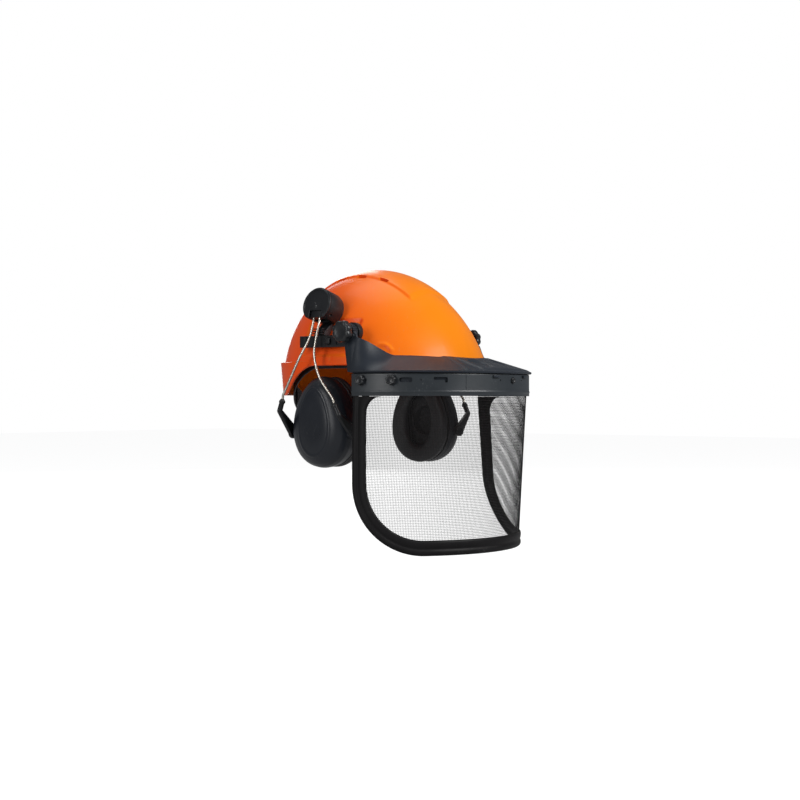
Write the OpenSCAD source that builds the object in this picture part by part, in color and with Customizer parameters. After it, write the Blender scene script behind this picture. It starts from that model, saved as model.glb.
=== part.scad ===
// Forestry safety helmet: vented shell, inner harness with a ratchet, mesh face screen on a
// brow guard, and two sprung ear muffs. Millimetres, front towards -Y, wearer's left towards +X,
// +Z up. The origin is the centre of the head opening, in the plane of the shell's widest section.

/* [Shell] */
// Length of the dome at its widest section, without the peak
shell_length = 237; // [215:1:265]
// Width of the dome at its widest section
shell_width = 208; // [190:1:235]
// Height of the crown above the widest section
crown_height = 140; // [125:1:160]
// Wall of the moulded shell
shell_wall = 2.6; // [2:0.1:3.4]
// How far the crown leans back for each millimetre of height
crown_lean = 0.105; // [0:0.005:0.15]
// Height of the rear rim
rear_rim_z = 6; // [0:1:14]
// Height of the arch over the ear
ear_arch_z = 37; // [32:1:39]
// Height of the ledge where the rear skirt steps out
ledge_z = 41; // [40:1:46]
// Reach of the short peak beyond the dome
peak_reach = 26; // [15:1:30]
// Height of the peak's edge
peak_z = 25; // [22:1:30]
// Length of one crown vent
vent_length = 12; // [8:1:16]
// Width of one crown vent
vent_width = 4; // [3:0.5:5]
// Distance from one crown vent to the next
vent_pitch = 28; // [20:1:32]

/* [Side slots] */
// Width of the accessory slot in the shell's side
slot_width = 30; // [24:1:32]
// Height of the accessory slot
slot_height = 5; // [4:0.5:7]
// Height of the slot's centre above the origin
slot_z = 58.5; // [56:0.5:61]
// Length of the adapter bar that plugs into the slot
bar_length = 77; // [70:1:90]
// Height of the adapter bar
bar_height = 12; // [10:1:14]
// Thickness of the adapter bar
bar_depth = 6.2; // [5:0.2:8]

/* [Face screen] */
// Clearance of the screen's arc beyond the shell's side
screen_clearance = 13; // [9:0.5:18]
// Gap between the peak's edge and the outside of the screen's rail
peak_gap = 18.5; // [14:0.5:24]
// Height of the screen's top rail
rail_height = 22.5; // [20:0.5:24]
// Thickness of the top rail
rail_wall = 2.5; // [2:0.1:3.5]
// Lowest point of the face screen, below the origin
screen_drop = 155; // [130:1:170]
// Radius of the screen's lower corners
corner_radius = 72; // [40:1:80]
// Width of the rubber edge trim
trim_width = 15.5; // [12:0.5:18]
// Thickness of the rubber edge trim
trim_depth = 5; // [4:0.5:6]
// Thickness of the mesh
mesh_wall = 1; // [0.8:0.1:1.2]
// Wall of the brow guard
guard_wall = 2.4; // [2:0.1:3]
// Height of the hinge axis of the screen
hinge_z = 69; // [66:1:72]
// Distance of the hinge axis ahead of the origin
hinge_ahead = 35; // [32:1:38]
// Radius of the clamping knob
knob_radius = 11.5; // [10:0.5:13]
// Length of the clamping knob
knob_length = 12; // [10:0.5:14]
// Radius of the hinge bolt
bolt_radius = 3; // [2.5:0.25:4]

/* [Harness] */
// Space between the shell's wall and the headband's top edge at the front and rear
end_gap = 7.36; // [6:0.02:12]
// Space between the shell's wall and the headband's top edge at the sides
side_gap = 12.21; // [10:0.01:16]
// Air space between the shell's crown and the lowest web
crown_gap = 26; // [22:0.5:32]
// Height of the headband strap
band_height = 26; // [22:1:30]
// Thickness of the headband strap
band_wall = 1.6; // [1.2:0.1:2.2]
// Thickness of the brow pad
brow_pad_depth = 4; // [3:0.5:6]
// Width of the webbing over the crown
web_width = 18; // [14:1:22]
// Thickness of the webbing
web_wall = 1.2; // [0.8:0.1:1.6]
// Radius of the ratchet knob at the nape
nape_knob_radius = 14; // [11:0.5:16]

/* [Ear muffs] */
// Height of one ear cup
cup_height = 95; // [84:1:98]
// Width of one ear cup
cup_width = 74; // [66:1:78]
// Depth of one ear cup from rim to face
cup_depth = 28; // [24:1:31]
// Wall of the ear cup
cup_wall = 2.2; // [1.8:0.1:3]
// Thickness of the ear cushion
cushion_depth = 11; // [8:1:13]
// Diameter of the sprung wire
wire_size = 2.5; // [2:0.1:3]
// Distance between the two wires at the drum
wire_gap = 8; // [7:0.5:9]
// Radius of the pivot drum
drum_radius = 18; // [16:0.5:19]
// Length of the pivot drum
drum_length = 21.5; // [21:0.5:22.5]
// Upward tilt of the drum's axis
drum_tilt = 15; // [12:1:18]
// Distance of the ear muffs behind the origin
muff_behind = 8; // [4:1:12]

/* [Hidden] */
$fn = 64;

// Clearances
slip = 0.3;
fit = 0.08;

// Shell
shell_a = shell_length / 2;
shell_b = shell_width / 2;
vent_side = 35;
shell_columns = 72;
dome_rows = 11;
skirt_rows = 4;
arch_front = 77;
arch_rear = 100;
arch_foot = 133;

// Side slots and hinge
slot_outside = shell_b * dome_scale(slot_z);
bar_inside = shell_b * dome_scale(slot_z - bar_height / 2 + 2) + 0.6;
bar_outside = bar_inside + bar_depth;
bar_z = slot_z + 2;
bar_rear = 34;
bar_front = bar_length - bar_rear;
tongue_reach = 8;
boss_radius = 10;
washer_wall = 0.7;
ear_inside = bar_outside + washer_wall + 0.2;
ear_hub_length = 6.6;
ear_hub_radius = 9;
ear_outside = ear_inside + ear_hub_length;
hinge = [0, -hinge_ahead, hinge_z];

// Face screen
screen_radius = shell_b + screen_clearance;
screen_ahead = shell_a + peak_reach + peak_gap - screen_radius;
rail_top = 26.5;
rail_bottom = rail_top - rail_height;
rail_inside = screen_radius - rail_wall;
mesh_middle = rail_inside - mesh_wall / 2 - slip;
bottom_radius = mesh_middle + 13;
bottom_ahead = screen_ahead - 25;
bottom_half_angle = 75.5;
screen_columns = 24;
side_stations = 6;
corner_stations = 8;
stations = side_stations + corner_stations;
trim_grip = 6;
lip_radius = screen_radius + 2.4;
lip_front_z = rail_top + 2.2;
lip_side_z = rail_top + 2.8;
lip_wall = 1.9;
guard_front_z = 43.2;
guard_side_z = 45.5;
guard_wing_angle = 72;
guard_wing_z = 63;
guard_flange_bottom = rail_bottom + 9.6;
guard_columns = 60;
nut_angles = [68, 84];
rail_mid_z = rail_bottom + 16;
nut_radius = 5.5;
stud_radius = 2;

// Harness
band_bottom = 33;
band_share = dome_scale(band_bottom + band_height);
band_a = shell_a * band_share - shell_wall - end_gap;
band_b = shell_b * band_share - shell_wall - side_gap;
band_straight = 26;
nape_inside = band_b + band_wall + 0.5;
nape_straight = 40;
nape_depth = band_a - nape_straight - 2.5;
nape_height = 22;
nape_drop = 57;
web_spread = 2.1;
web_foot_z = band_bottom + band_height + 0.4;
web_rise = crown_height - shell_wall - crown_gap - web_foot_z;
web_gap = 2.6;
web_squareness = 2.1;
web_rings = 24;
web_angles = [32, 148];
web_side_ahead = 20;
crown_pad_drop = 13.2;
key_width = 22;
key_depth = 2.5;
key_height = 9.6;
knob_z = band_bottom + 2 - nape_drop + nape_height / 2;
nape_rear = nape_straight + nape_depth + band_wall;

// Ear muffs
drum_z = 99;
drum_dome_gap = 33.4;
drum_bar_gap = 4.4;
drum_face = [
  -max(shell_b * dome_scale(drum_z) + drum_dome_gap, bar_outside + drum_bar_gap), muff_behind, drum_z
];
drum_flat = 14;
drum_wall = 2;
wire_in = 4.6;
pin_in = 8;
pin_radius = 1.3;
rocker_top = 6;
rocker_bottom = 13.5;
wire_top = 13;
bracket_wall = 3;
neck_width = 13;
pin_low = 10;
wire_radius = wire_size / 2;
wire_sides = 8;
cup_centre_z = -23;
cup_rim = band_b + 4.5;
pin_z = cup_centre_z - 11;
pin_out = cup_rim + 12;
flank = cup_width / 2 + 1.4;
arm_wall = 4;
pivot_radius = 2.5;
socket_out = max(cup_rim + 34, shell_b + 14);
rear_socket = [-socket_out, muff_behind + cup_width / 2, -1];
front_socket = [-socket_out, muff_behind - cup_width / 2 + 4, -5];

function lerp(a, b, t) = a + (b - a) * t;
function ease(t) = let (c = min(1, max(0, t))) c * c * (3 - 2 * c);
function unit(v) = v / norm(v);
function reversed(list) = [for (i = [len(list) - 1:-1:0]) list[i]];

// Share of the full dome section left at height z
function dome_scale(z) = sqrt(max(0, 1 - pow(z / crown_height, 2)));

// Closed solid through a list of like outlines; cap holds the faces that close the first one
module skin(rings, cap = []) {
  n = len(rings[0]);
  m = len(rings);
  first = cap == [] ? [[for (j = [0:n - 1]) j]] : cap;
  last = [for (face = first) [for (k = reversed(face)) (m - 1) * n + k]];
  sides = [
    for (i = [0:m - 2]) for (j = [0:n - 1])
      let (k = (j + 1) % n)
      each [[i * n + j, (i + 1) * n + j, (i + 1) * n + k], [i * n + j, (i + 1) * n + k, i * n + k]]
  ];
  polyhedron([for (ring = rings) each ring], concat(first, sides, last));
}

// Solid strip of rectangular section: four corners for each station
module strip(stations) {
  skin(stations, [[0, 1, 2, 3]]);
}

// Wearer's left or right: the right side is drawn and the left side is its mirror image
module on_side(side) {
  mirror([side == "left" ? 1 : 0, 0, 0]) children();
}

// ---------------------------------------------------------------- shell

function dome_point(angle, tilt) =
  let (z = crown_height * cos(tilt))
  [shell_b * sin(tilt) * sin(angle), -shell_a * sin(tilt) * cos(angle) + lean(z), z];

function lean(z) = crown_lean * (z - 33);

function rim_z(angle) =
  let (a = abs(angle))
  a <= arch_rear
    ? lerp(peak_z, ear_arch_z, ease((a - 42) / (arch_front - 42)))
    : lerp(ear_arch_z, rear_rim_z, ease((a - arch_rear) / (arch_foot - arch_rear)));

function skirt_share(angle) = ease((abs(angle) - arch_rear - 2) / 18);

function peak_share(angle) = 1 - ease((abs(angle) - 30) / 38);

function skirt_point(angle, share) =
  let (
    z = lerp(ledge_z - 0.8, rim_z(angle), share),
    reach = lerp(dome_scale(z), 1, skirt_share(angle)),
    peak = peak_reach * peak_share(angle) * share
  )
  [(shell_b * reach + peak * 0.9) * sin(angle), -(shell_a * reach + peak) * cos(angle) + lean(z), z];

function shell_outside() =
  let (ledge_tilt = acos(ledge_z / crown_height))
  [
    for (i = [0:dome_rows]) [
      for (j = [0:shell_columns - 1])
        dome_point(j * 360 / shell_columns - 180, lerp(4, ledge_tilt, i / dome_rows))
    ],
    for (i = [0:skirt_rows]) [
      for (j = [0:shell_columns - 1])
        skirt_point(j * 360 / shell_columns - 180, i / skirt_rows)
    ]
  ];

function grid_normal(grid, i, j) =
  let (
    m = len(grid),
    n = len(grid[0]),
    along = grid[i][(j + 1) % n] - grid[i][(j + n - 1) % n],
    down = grid[min(i + 1, m - 1)][j] - grid[max(i - 1, 0)][j]
  )
  unit(cross(down, along));

function offset_grid(grid, distance) = [
  for (i = [0:len(grid) - 1]) [
    for (j = [0:len(grid[0]) - 1]) grid[i][j] + distance * grid_normal(grid, i, j)
  ]
];

module helmet_shell() {
  outside = shell_outside();
  color("darkorange")
    difference() {
      skin(concat(outside, reversed(offset_grid(outside, -shell_wall))));
      for (side = [-1, 1]) {
        for (i = [-1:1])
          translate([side * vent_side, 4 + i * vent_pitch, crown_height - 10])
            rotate([0, side * 20, side * -i * 4])
              cube([vent_width, vent_length, 40], center = true);
        translate([side * slot_outside, 0, slot_z])
          cube([3 * tongue_reach, slot_width + 2 * slip, slot_height + 2 * slip], center = true);
      }
    }
}

// ---------------------------------------------------------------- harness

// Plan of the headband: half an ellipse in front, straight sides behind
function band_plan(spread, steps, rear) = concat(
  [[-(band_b + spread), rear]],
  [for (i = [0:steps]) let (a = -90 + 180 * i / steps)
    [(band_b + spread) * sin(a), -(band_a + spread) * cos(a)]],
  [[band_b + spread, rear]]
);

module headband() {
  color("black")
    translate([0, 0, band_bottom])
      linear_extrude(band_height)
        polygon(concat(band_plan(0, 40, band_straight), reversed(band_plan(band_wall, 40, band_straight))));
}

module brow_pad() {
  spread = -0.3;
  arc = [for (i = [0:24]) -66 + 132 * i / 24];
  outer = [for (a = arc) [(band_b + spread) * sin(a), -(band_a + spread) * cos(a)]];
  inner_spread = spread - brow_pad_depth;
  inner = [for (a = arc) [(band_b + inner_spread) * sin(a), -(band_a + inner_spread) * cos(a)]];
  color("dimgray")
    translate([0, 0, band_bottom - 2])
      linear_extrude(band_height + 4)
        polygon(concat(outer, reversed(inner)));
}

// Foot of a diagonal web at one bearing, between the headband and the shell
function web_foot(angle) = [(band_b + web_spread) * sin(angle), -(band_a + web_spread) * cos(angle)];

// Foot of the side web, just ahead of the ear
function side_foot(side) =
  [side * (band_b + web_spread) * sqrt(1 - pow(web_side_ahead / (band_a + web_spread), 2)), -web_side_ahead];

// Webbing arched over the crown from one foot, about the middle of its span
module web(foot, middle_y, layer) {
  span = [foot[0], foot[1] - middle_y, 0];
  along = unit(span);
  across = [-along[1], along[0], 0];
  reach = norm(span);
  color("darkslategray")
    strip([
      for (i = [0:web_rings])
        let (
          q = 180 * i / web_rings,
          rise = web_rise + layer * (web_wall + web_gap),
          pull = sign(cos(q)) * pow(abs(cos(q)), web_squareness),
          lift = rise * sin(q),
          middle = along * reach * pull + [0, middle_y + crown_lean * lift, web_foot_z + lift],
          out = unit(along * cos(q) / reach + [0, 0, sin(q) / rise])
        )
        [
          middle - across * web_width / 2,
          middle + across * web_width / 2,
          middle + across * web_width / 2 + out * web_wall,
          middle - across * web_width / 2 + out * web_wall
        ]
    ]);
}

module web_front_left() {
  web(web_foot(web_angles[0]), 0, 0);
}

module web_side() {
  web(side_foot(1), -web_side_ahead, 2);
}

module web_front_right() {
  web(web_foot(web_angles[1]), 0, 1);
}

module crown_pad() {
  color("dimgray")
    translate([0, 0, web_foot_z + web_rise - crown_pad_drop])
      cylinder(h = 3.5, r = 24);
}

// Moulded key that clips the end of a web to the shell
module web_key(foot) {
  bearing = atan2(foot[1] / pow(band_a, 2), foot[0] / pow(band_b, 2));
  translate([foot[0], foot[1], web_foot_z - key_height - 0.3])
    rotate([0, 0, bearing])
      difference() {
        translate([-0.4, -key_width / 2, 0])
          cube([key_depth, key_width, key_height]);
        translate([0.2, -web_width / 2, key_height - 4])
          cube([1.3, web_width, 5]);
      }
}

module web_keys() {
  color("black") {
    for (angle = web_angles)
      for (turn = [0, 180])
        web_key(web_foot(angle + turn));
    for (side = [-1, 1])
      web_key(side_foot(side));
  }
}

function nape_bottom(t) = band_bottom + 2 - nape_drop * ease((t - 0.12) / 0.88);

// Plan point of the nape strap: t is 0 at its front end and 1 at the centre of the nape
function nape_plan(t, spread) =
  t < 0.3
    ? [nape_inside + spread, lerp(6, nape_straight, t / 0.3)]
    : let (a = 90 * (t - 0.3) / 0.7)
      [(nape_inside + spread) * cos(a), nape_straight + (nape_depth + spread) * sin(a)];

function nape_station(t, side) =
  let (inner = nape_plan(t, 0), outer = nape_plan(t, band_wall), low = nape_bottom(t))
  [
    [side * inner[0], inner[1], low],
    [side * outer[0], outer[1], low],
    [side * outer[0], outer[1], low + nape_height],
    [side * inner[0], inner[1], low + nape_height]
  ];

module nape_strap() {
  steps = 20;
  color("black")
    strip(concat(
      [for (i = [0:steps]) nape_station(i / steps, 1)],
      [for (i = [steps - 1:-1:0]) nape_station(i / steps, -1)]
    ));
}

module nape_pad() {
  color("dimgray")
    strip([
      for (a = [-40:8:40])
        let (
          inner = nape_inside - 4.3,
          outer = nape_inside - 0.3,
          low = nape_bottom(0.3 + 0.7 * (90 - abs(a)) / 90) - 1
        )
        [
          [inner * sin(a), nape_straight + (nape_depth - 4.3) * cos(a), low],
          [outer * sin(a), nape_straight + (nape_depth - 0.3) * cos(a), low],
          [outer * sin(a), nape_straight + (nape_depth - 0.3) * cos(a), low + nape_height + 2],
          [inner * sin(a), nape_straight + (nape_depth - 4.3) * cos(a), low + nape_height + 2]
        ]
    ]);
}

module ratchet_case() {
  width = 50;
  color("black")
    translate([0, nape_rear, knob_z])
      rotate([-90, 0, 0])
        difference() {
          hull()
            for (side = [-1, 1])
              translate([side * (width / 2 - 12), 0, 0.4])
                cylinder(h = 8, r = 12, $fn = 32);
          translate([0, 0, -1])
            cylinder(h = 7, r = 7.6);
          translate([0, 0, -1])
            cylinder(h = 12, r = 3.4);
        }
}

module ratchet_pinion() {
  teeth = 12;
  color("gray")
    translate([0, nape_rear + 0.8, knob_z])
      rotate([-90, 0, 0])
        union() {
          cylinder(h = 4.6, r = 5.6);
          for (i = [0:teeth - 1])
            rotate([0, 0, i * 360 / teeth])
              translate([5, -0.7, 0])
                cube([2.1, 1.4, 4.6]);
          cylinder(h = 10.5, r = 3.2);
        }
}

module ratchet_knob() {
  lobes = 12;
  length = 9;
  color("black")
    translate([0, nape_rear + 8.8, knob_z])
      rotate([-90, 0, 0])
        difference() {
          union() {
            cylinder(h = length, r = nape_knob_radius - 1);
            for (i = [0:lobes - 1])
              rotate([0, 0, i * 360 / lobes])
                translate([nape_knob_radius - 1.6, 0, 0.8])
                  cylinder(h = length - 1.6, r = 1.6);
          }
          translate([0, 0, -1])
            cylinder(h = 4, r = 3.2 + fit);
          translate([0, 0, length - 2.5])
            cylinder(h = 4, r = nape_knob_radius - 4);
        }
}

// ---------------------------------------------------------------- face screen

// How far down the screen height z lies: 0 at the rail, 1 at the lower edge
function drop_share(z) = max(0, (rail_bottom - z) / (rail_bottom + screen_drop));

function half_arc(z) =
  let (f = drop_share(z))
  lerp(mesh_middle, bottom_radius, f) * lerp(90, bottom_half_angle, f) * PI / 180;

// Point of the screen: along its arc, at height z, and off its middle surface
function screen_point(along, z, off) =
  let (
    f = drop_share(z),
    radius = lerp(mesh_middle, bottom_radius, f),
    angle = along / radius * 180 / PI
  )
  [
    (radius + off) * sin(angle),
    -lerp(screen_ahead, bottom_ahead, f) - (radius + off) * cos(angle),
    z
  ];

// Outline of the screen, a distance in from its edge: [inset from the side, height]
function outline_station(k, inward, top) =
  k <= side_stations
    ? [inward, lerp(top, corner_radius - screen_drop, k / side_stations)]
    : let (turn = 90 * (k - side_stations) / corner_stations, r = corner_radius - inward)
      [corner_radius - r * cos(turn), corner_radius - screen_drop - r * sin(turn)];

function side_point(k, inward, off, top, side) =
  let (place = outline_station(k, inward, top))
  screen_point(side * (half_arc(place[1]) - place[0]), place[1], off);

function bottom_point(i, inward, off) =
  let (z = inward - screen_drop, half = half_arc(z) - corner_radius)
  screen_point(half * (2 * i / screen_columns - 1), z, off);

// One section of the trim: a U that grips the edge of the mesh
function trim_station(kind, k) =
  let (
    d = trim_depth / 2,
    g = mesh_wall / 2 + 2 * slip,
    profile = [
      [0, -d], [0, d], [trim_width, d], [trim_width, g],
      [trim_grip, g], [trim_grip, -g], [trim_width, -g], [trim_width, -d]
    ]
  )
  [
    for (p = profile)
      kind == 0
        ? bottom_point(k, p[0], p[1])
        : side_point(k, p[0], p[1], rail_bottom - 0.3, kind)
  ];

module edge_trim() {
  color([0.1, 0.1, 0.11])
    skin(
      concat(
        [for (k = [0:stations - 1]) trim_station(-1, k)],
        [for (i = [0:screen_columns]) trim_station(0, i)],
        [for (k = [stations - 1:-1:0]) trim_station(1, k)]
      ),
      [[0, 1, 4, 5], [1, 2, 3, 4], [5, 6, 7, 0]]
    );
}

// One row of the mesh, from its right edge to its left edge
function mesh_row(k, off) =
  let (
    place = outline_station(k, trim_grip + 0.5, rail_bottom + 9),
    half = half_arc(place[1]) - place[0]
  )
  [for (i = [0:screen_columns]) screen_point(half * (2 * i / screen_columns - 1), place[1], off)];

module screen_mesh() {
  color([0.2, 0.2, 0.2])
    skin([
      for (k = [0:stations])
        concat(mesh_row(k, mesh_wall / 2), reversed(mesh_row(k, -mesh_wall / 2)))
    ], [
      for (i = [0:screen_columns - 1])
        [i, i + 1, 2 * screen_columns - i, 2 * screen_columns + 1 - i]
    ]);
}

// Places a piece on the rail: z of the children points out of the rail
module on_rail(angle, height) {
  translate([0, -screen_ahead, height])
    rotate([0, 0, angle - 90])
      rotate([0, 90, 0])
        children();
}

module screen_rail() {
  color([0.22, 0.24, 0.26])
    difference() {
      translate([0, -screen_ahead, 0])
        rotate([0, 0, 180])
          rotate_extrude(angle = 180)
            union() {
              translate([rail_inside, rail_bottom])
                square([rail_wall, rail_height]);
              translate([rail_inside + 0.5, rail_bottom + 3])
                square([rail_wall + 0.3, 2]);
            }
      for (side = [-1, 1]) {
        for (angle = nut_angles)
          on_rail(side * angle, rail_mid_z)
            cylinder(h = 2 * screen_radius, r = stud_radius + slip);
        on_rail(side * 61, rail_mid_z)
          translate([-2.4, -6.5, screen_radius / 2])
            cube([4.8, 13, screen_radius]);
        on_rail(side * 44, rail_mid_z)
          translate([-1.8, -7.5, screen_radius / 2])
            cube([3.6, 15, screen_radius]);
      }
      on_rail(0, rail_mid_z)
        cylinder(h = 2 * screen_radius, r = stud_radius + slip);
    }
}

module rail_studs() {
  color("dimgray")
    for (angle = [-84, -68, 0, 68, 84])
      on_rail(angle, rail_mid_z) {
        translate([0, 0, rail_inside - guard_wall - 2.4])
          cylinder(h = 2, r = 4);
        translate([0, 0, rail_inside - guard_wall - 1])
          cylinder(h = rail_wall + guard_wall + (angle == 0 ? 2 : 5), r = stud_radius);
      }
}

module rail_nuts() {
  lobes = 6;
  color([0.12, 0.12, 0.13])
    for (side = [-1, 1])
      for (angle = nut_angles)
        on_rail(side * angle, rail_mid_z)
          translate([0, 0, screen_radius + 0.4])
            difference() {
              union() {
                cylinder(h = 5, r = nut_radius - 1.5);
                for (i = [0:lobes - 1])
                  rotate([0, 0, i * 360 / lobes])
                    translate([nut_radius - 1.6, 0, 0])
                      cylinder(h = 4.4, r = 1.6);
              }
              translate([0, 0, -1])
                cylinder(h = 5, r = stud_radius + fit);
            }
}

module rail_clips() {
  color([0.14, 0.15, 0.17])
    for (angle = [-13, 13])
      on_rail(angle, rail_top - 2.6)
        translate([-1.2, -4.5, screen_radius + 0.15])
          cube([2.6, 9, 1.6]);
}

// Distance from the screen's centre line to the dome along one bearing, at height z
function dome_reach(angle, z, gap) =
  let (
    a = shell_a * dome_scale(z) + gap,
    b = shell_b * dome_scale(z) + gap,
    back = -screen_ahead - lean(z),
    p = pow(sin(angle) / b, 2) + pow(cos(angle) / a, 2),
    q = -2 * back * cos(angle) / (a * a),
    r = back * back / (a * a) - 1
  )
  (-q + sqrt(q * q - 4 * p * r)) / (2 * p);

// Section of the brow guard at one bearing from the screen's arc centre
function guard_station(angle) =
  let (
    wing = ease((abs(angle) - guard_wing_angle) / (90 - guard_wing_angle)),
    brow_z = lerp(guard_front_z, guard_side_z, ease(abs(angle) / guard_wing_angle)),
    edge_z = lerp(brow_z, guard_wing_z, wing),
    hug = dome_reach(angle, brow_z, 1.6),
    edge_r = lerp(hug, ear_inside + 5.5, wing),
    lip_z = lerp(lip_front_z, lip_side_z, ease(abs(angle) / 60)),
    slope = unit([lip_radius - edge_r, lip_z - edge_z]),
    inward = [slope[1], -slope[0]] * guard_wall,
    root_r = rail_inside - 0.1,
    profile = [
      [edge_r, edge_z],
      [lip_radius, lip_z],
      [lip_radius, lip_z - lip_wall],
      [root_r, rail_top + 0.2],
      [root_r, guard_flange_bottom],
      [root_r - guard_wall, guard_flange_bottom],
      [root_r - guard_wall, rail_top - 1],
      [edge_r + inward[0], edge_z + inward[1]]
    ]
  )
  [for (p = profile) [p[0] * sin(angle), -screen_ahead - p[0] * cos(angle), p[1]]];

module brow_guard() {
  hub_rib_count = 18;
  color([0.19, 0.22, 0.26])
    difference() {
      union() {
        skin(
          [for (i = [0:guard_columns]) guard_station(-90 + 180 * i / guard_columns)],
          [[0, 1, 2, 3], [0, 3, 6, 7], [3, 4, 5, 6]]
        );
        for (side = [-1, 1]) {
          hull() {
            translate([side * (ear_inside + 1.5), 0, 0] + hinge)
              rotate([0, 90, 0])
                cylinder(h = 3, r = ear_hub_radius - 1, center = true, $fn = 32);
            translate([side * (ear_inside + 4.3), -screen_ahead - 0.1, guard_wing_z - 3])
              cube([2.4, 0.8, 5.6], center = true);
            translate([side * (lip_radius - 2.6), -screen_ahead - 0.1, rail_top + 3.6])
              cube([2.4, 0.8, 4], center = true);
            translate([side * (lip_radius - 2.6), -screen_ahead + 4, rail_top + 3.6])
              cube([2.4, 0.8, 4], center = true);
          }
          translate([side * (ear_inside + ear_hub_length / 2), 0, 0] + hinge)
            rotate([0, 90, 0]) {
              cylinder(h = ear_hub_length, r = ear_hub_radius - 0.8, center = true);
              for (i = [0:hub_rib_count - 1])
                rotate([0, 0, i * 360 / hub_rib_count])
                  translate([ear_hub_radius - 0.9, 0, 0])
                    cube([1.8, 1.2, ear_hub_length - 1.2], center = true);
            }
        }
      }
      translate(hinge)
        rotate([0, 90, 0])
          cylinder(h = 3 * shell_width, r = bolt_radius + fit, center = true);
      for (angle = [-84, -68, 0, 68, 84])
        on_rail(angle, rail_mid_z)
          translate([0, 0, rail_inside - 12])
            cylinder(h = 20, r = stud_radius + slip);
    }
}

module hinge_washers() {
  color("silver")
    for (side = [-1, 1])
      translate([side * (bar_outside + 0.1 + washer_wall / 2), 0, 0] + hinge)
        rotate([0, 90, 0])
          difference() {
            cylinder(h = washer_wall, r = 8, center = true);
            cylinder(h = 2 * washer_wall, r = bolt_radius + fit, center = true);
          }
}

module hinge_bolts() {
  inside = bar_inside - 2.5;
  color("silver")
    for (side = [-1, 1])
      translate([side * inside, 0, 0] + hinge)
        rotate([0, side * 90, 0])
          union() {
            cylinder(h = 2.4, r = 5.5);
            cylinder(h = ear_outside + knob_length - 3 - inside, r = bolt_radius);
          }
}

module slot_adapter() {
  color([0.1, 0.1, 0.11])
    difference() {
      union() {
        translate([-bar_outside, -bar_front, bar_z - bar_height / 2])
          cube([bar_depth, bar_length, bar_height]);
        translate([-bar_outside, 0, 0] + hinge)
          rotate([0, 90, 0])
            cylinder(h = bar_depth, r = boss_radius);
        translate([-bar_outside + 1, -slot_width / 2, slot_z - slot_height / 2])
          cube([bar_depth + tongue_reach - 1, slot_width, slot_height]);
        translate([-bar_outside - 1.4, bar_rear - 9, bar_z - bar_height / 2 + 1])
          cube([2, 8, bar_height - 2]);
      }
      translate([-bar_outside, 0, 0] + hinge)
        rotate([0, 90, 0]) {
          cylinder(h = 4 * bar_depth, r = bolt_radius + fit, center = true);
          translate([0, 0, bar_depth - 0.2])
            cylinder(h = bar_depth, r = 5.8);
        }
    }
}

module hinge_knob() {
  facets = 8;
  color([0.12, 0.12, 0.13])
    translate([-ear_outside - 0.3, 0, 0] + hinge)
      rotate([0, -90, 0])
        difference() {
          union() {
            cylinder(h = knob_length * 0.35, r = knob_radius - 5);
            translate([0, 0, knob_length * 0.3])
              rotate([0, 0, 22.5])
                cylinder(h = knob_length * 0.7, r = knob_radius, $fn = facets);
          }
          translate([0, 0, -1])
            cylinder(h = knob_length - 2, r = bolt_radius + fit);
        }
}

// ---------------------------------------------------------------- ear muffs

// The drum's own frame: z points out along its axis, x points down, y points to the front
module in_drum() {
  translate(drum_face)
    rotate([0, drum_tilt - 90, 0])
      rotate([0, 0, 180])
        children();
}

// Place in the drum's frame: in from the face, and down from the axis
function drum_place(inside, down) = drum_face + [
  inside * cos(drum_tilt) - down * sin(drum_tilt),
  0,
  -inside * sin(drum_tilt) - down * cos(drum_tilt)
];

module drum_plan(radius, flat) {
  intersection() {
    circle(r = radius);
    translate([-radius, -radius])
      square([radius + flat, 2 * radius]);
  }
}

module wire_window(outward) {
  translate([6.5, -wire_gap / 2 - 3.6, -17])
    cube([14, wire_gap + 7.2, 17 + outward]);
}

// Fixed base of the drum, and the ribbed neck that joins it to the adapter bar
module muff_bracket() {
  back = drum_length + slip + bracket_wall;
  neck_z = bar_z + bar_height / 2 + fit;
  plate_top = drum_place(back - bracket_wall, drum_flat - 4);
  plate_low = drum_place(back - bracket_wall + 2 * slip, drum_flat);
  plate_back = drum_place(back, drum_flat - 2);
  color([0.1, 0.1, 0.11])
    difference() {
      union() {
        in_drum()
          translate([0, 0, -back])
            linear_extrude(bracket_wall)
              drum_plan(drum_radius - 1, drum_flat);
        translate([0, muff_behind + neck_width / 2, 0])
          rotate([90, 0, 0])
            linear_extrude(neck_width)
              polygon([
                [plate_top[0], plate_top[2]], [plate_low[0], plate_low[2]], [-bar_outside + 0.8, neck_z + 4],
                [-bar_outside + 0.8, neck_z], [-bar_outside + 9.5, neck_z],
                [plate_back[0] + 1, plate_back[2]], [plate_back[0], plate_back[2] + 3]
              ]);
        translate([-bar_outside + 0.2, muff_behind - neck_width / 2 - 1, neck_z])
          cube([8.6, neck_width + 2, 1.2]);
      }
      in_drum()
        translate([0, 0, -back - 5])
          cylinder(h = 10, r = pivot_radius);
    }
}

module drum_spindle() {
  color("silver")
    in_drum()
      translate([0, 0, -drum_length - slip - bracket_wall])
        union() {
          cylinder(h = drum_wall + bracket_wall + 1.2, r = pivot_radius);
          translate([0, 0, drum_wall + bracket_wall + 0.5])
            cylinder(h = 1.5, r = 4.5);
        }
}

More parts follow.
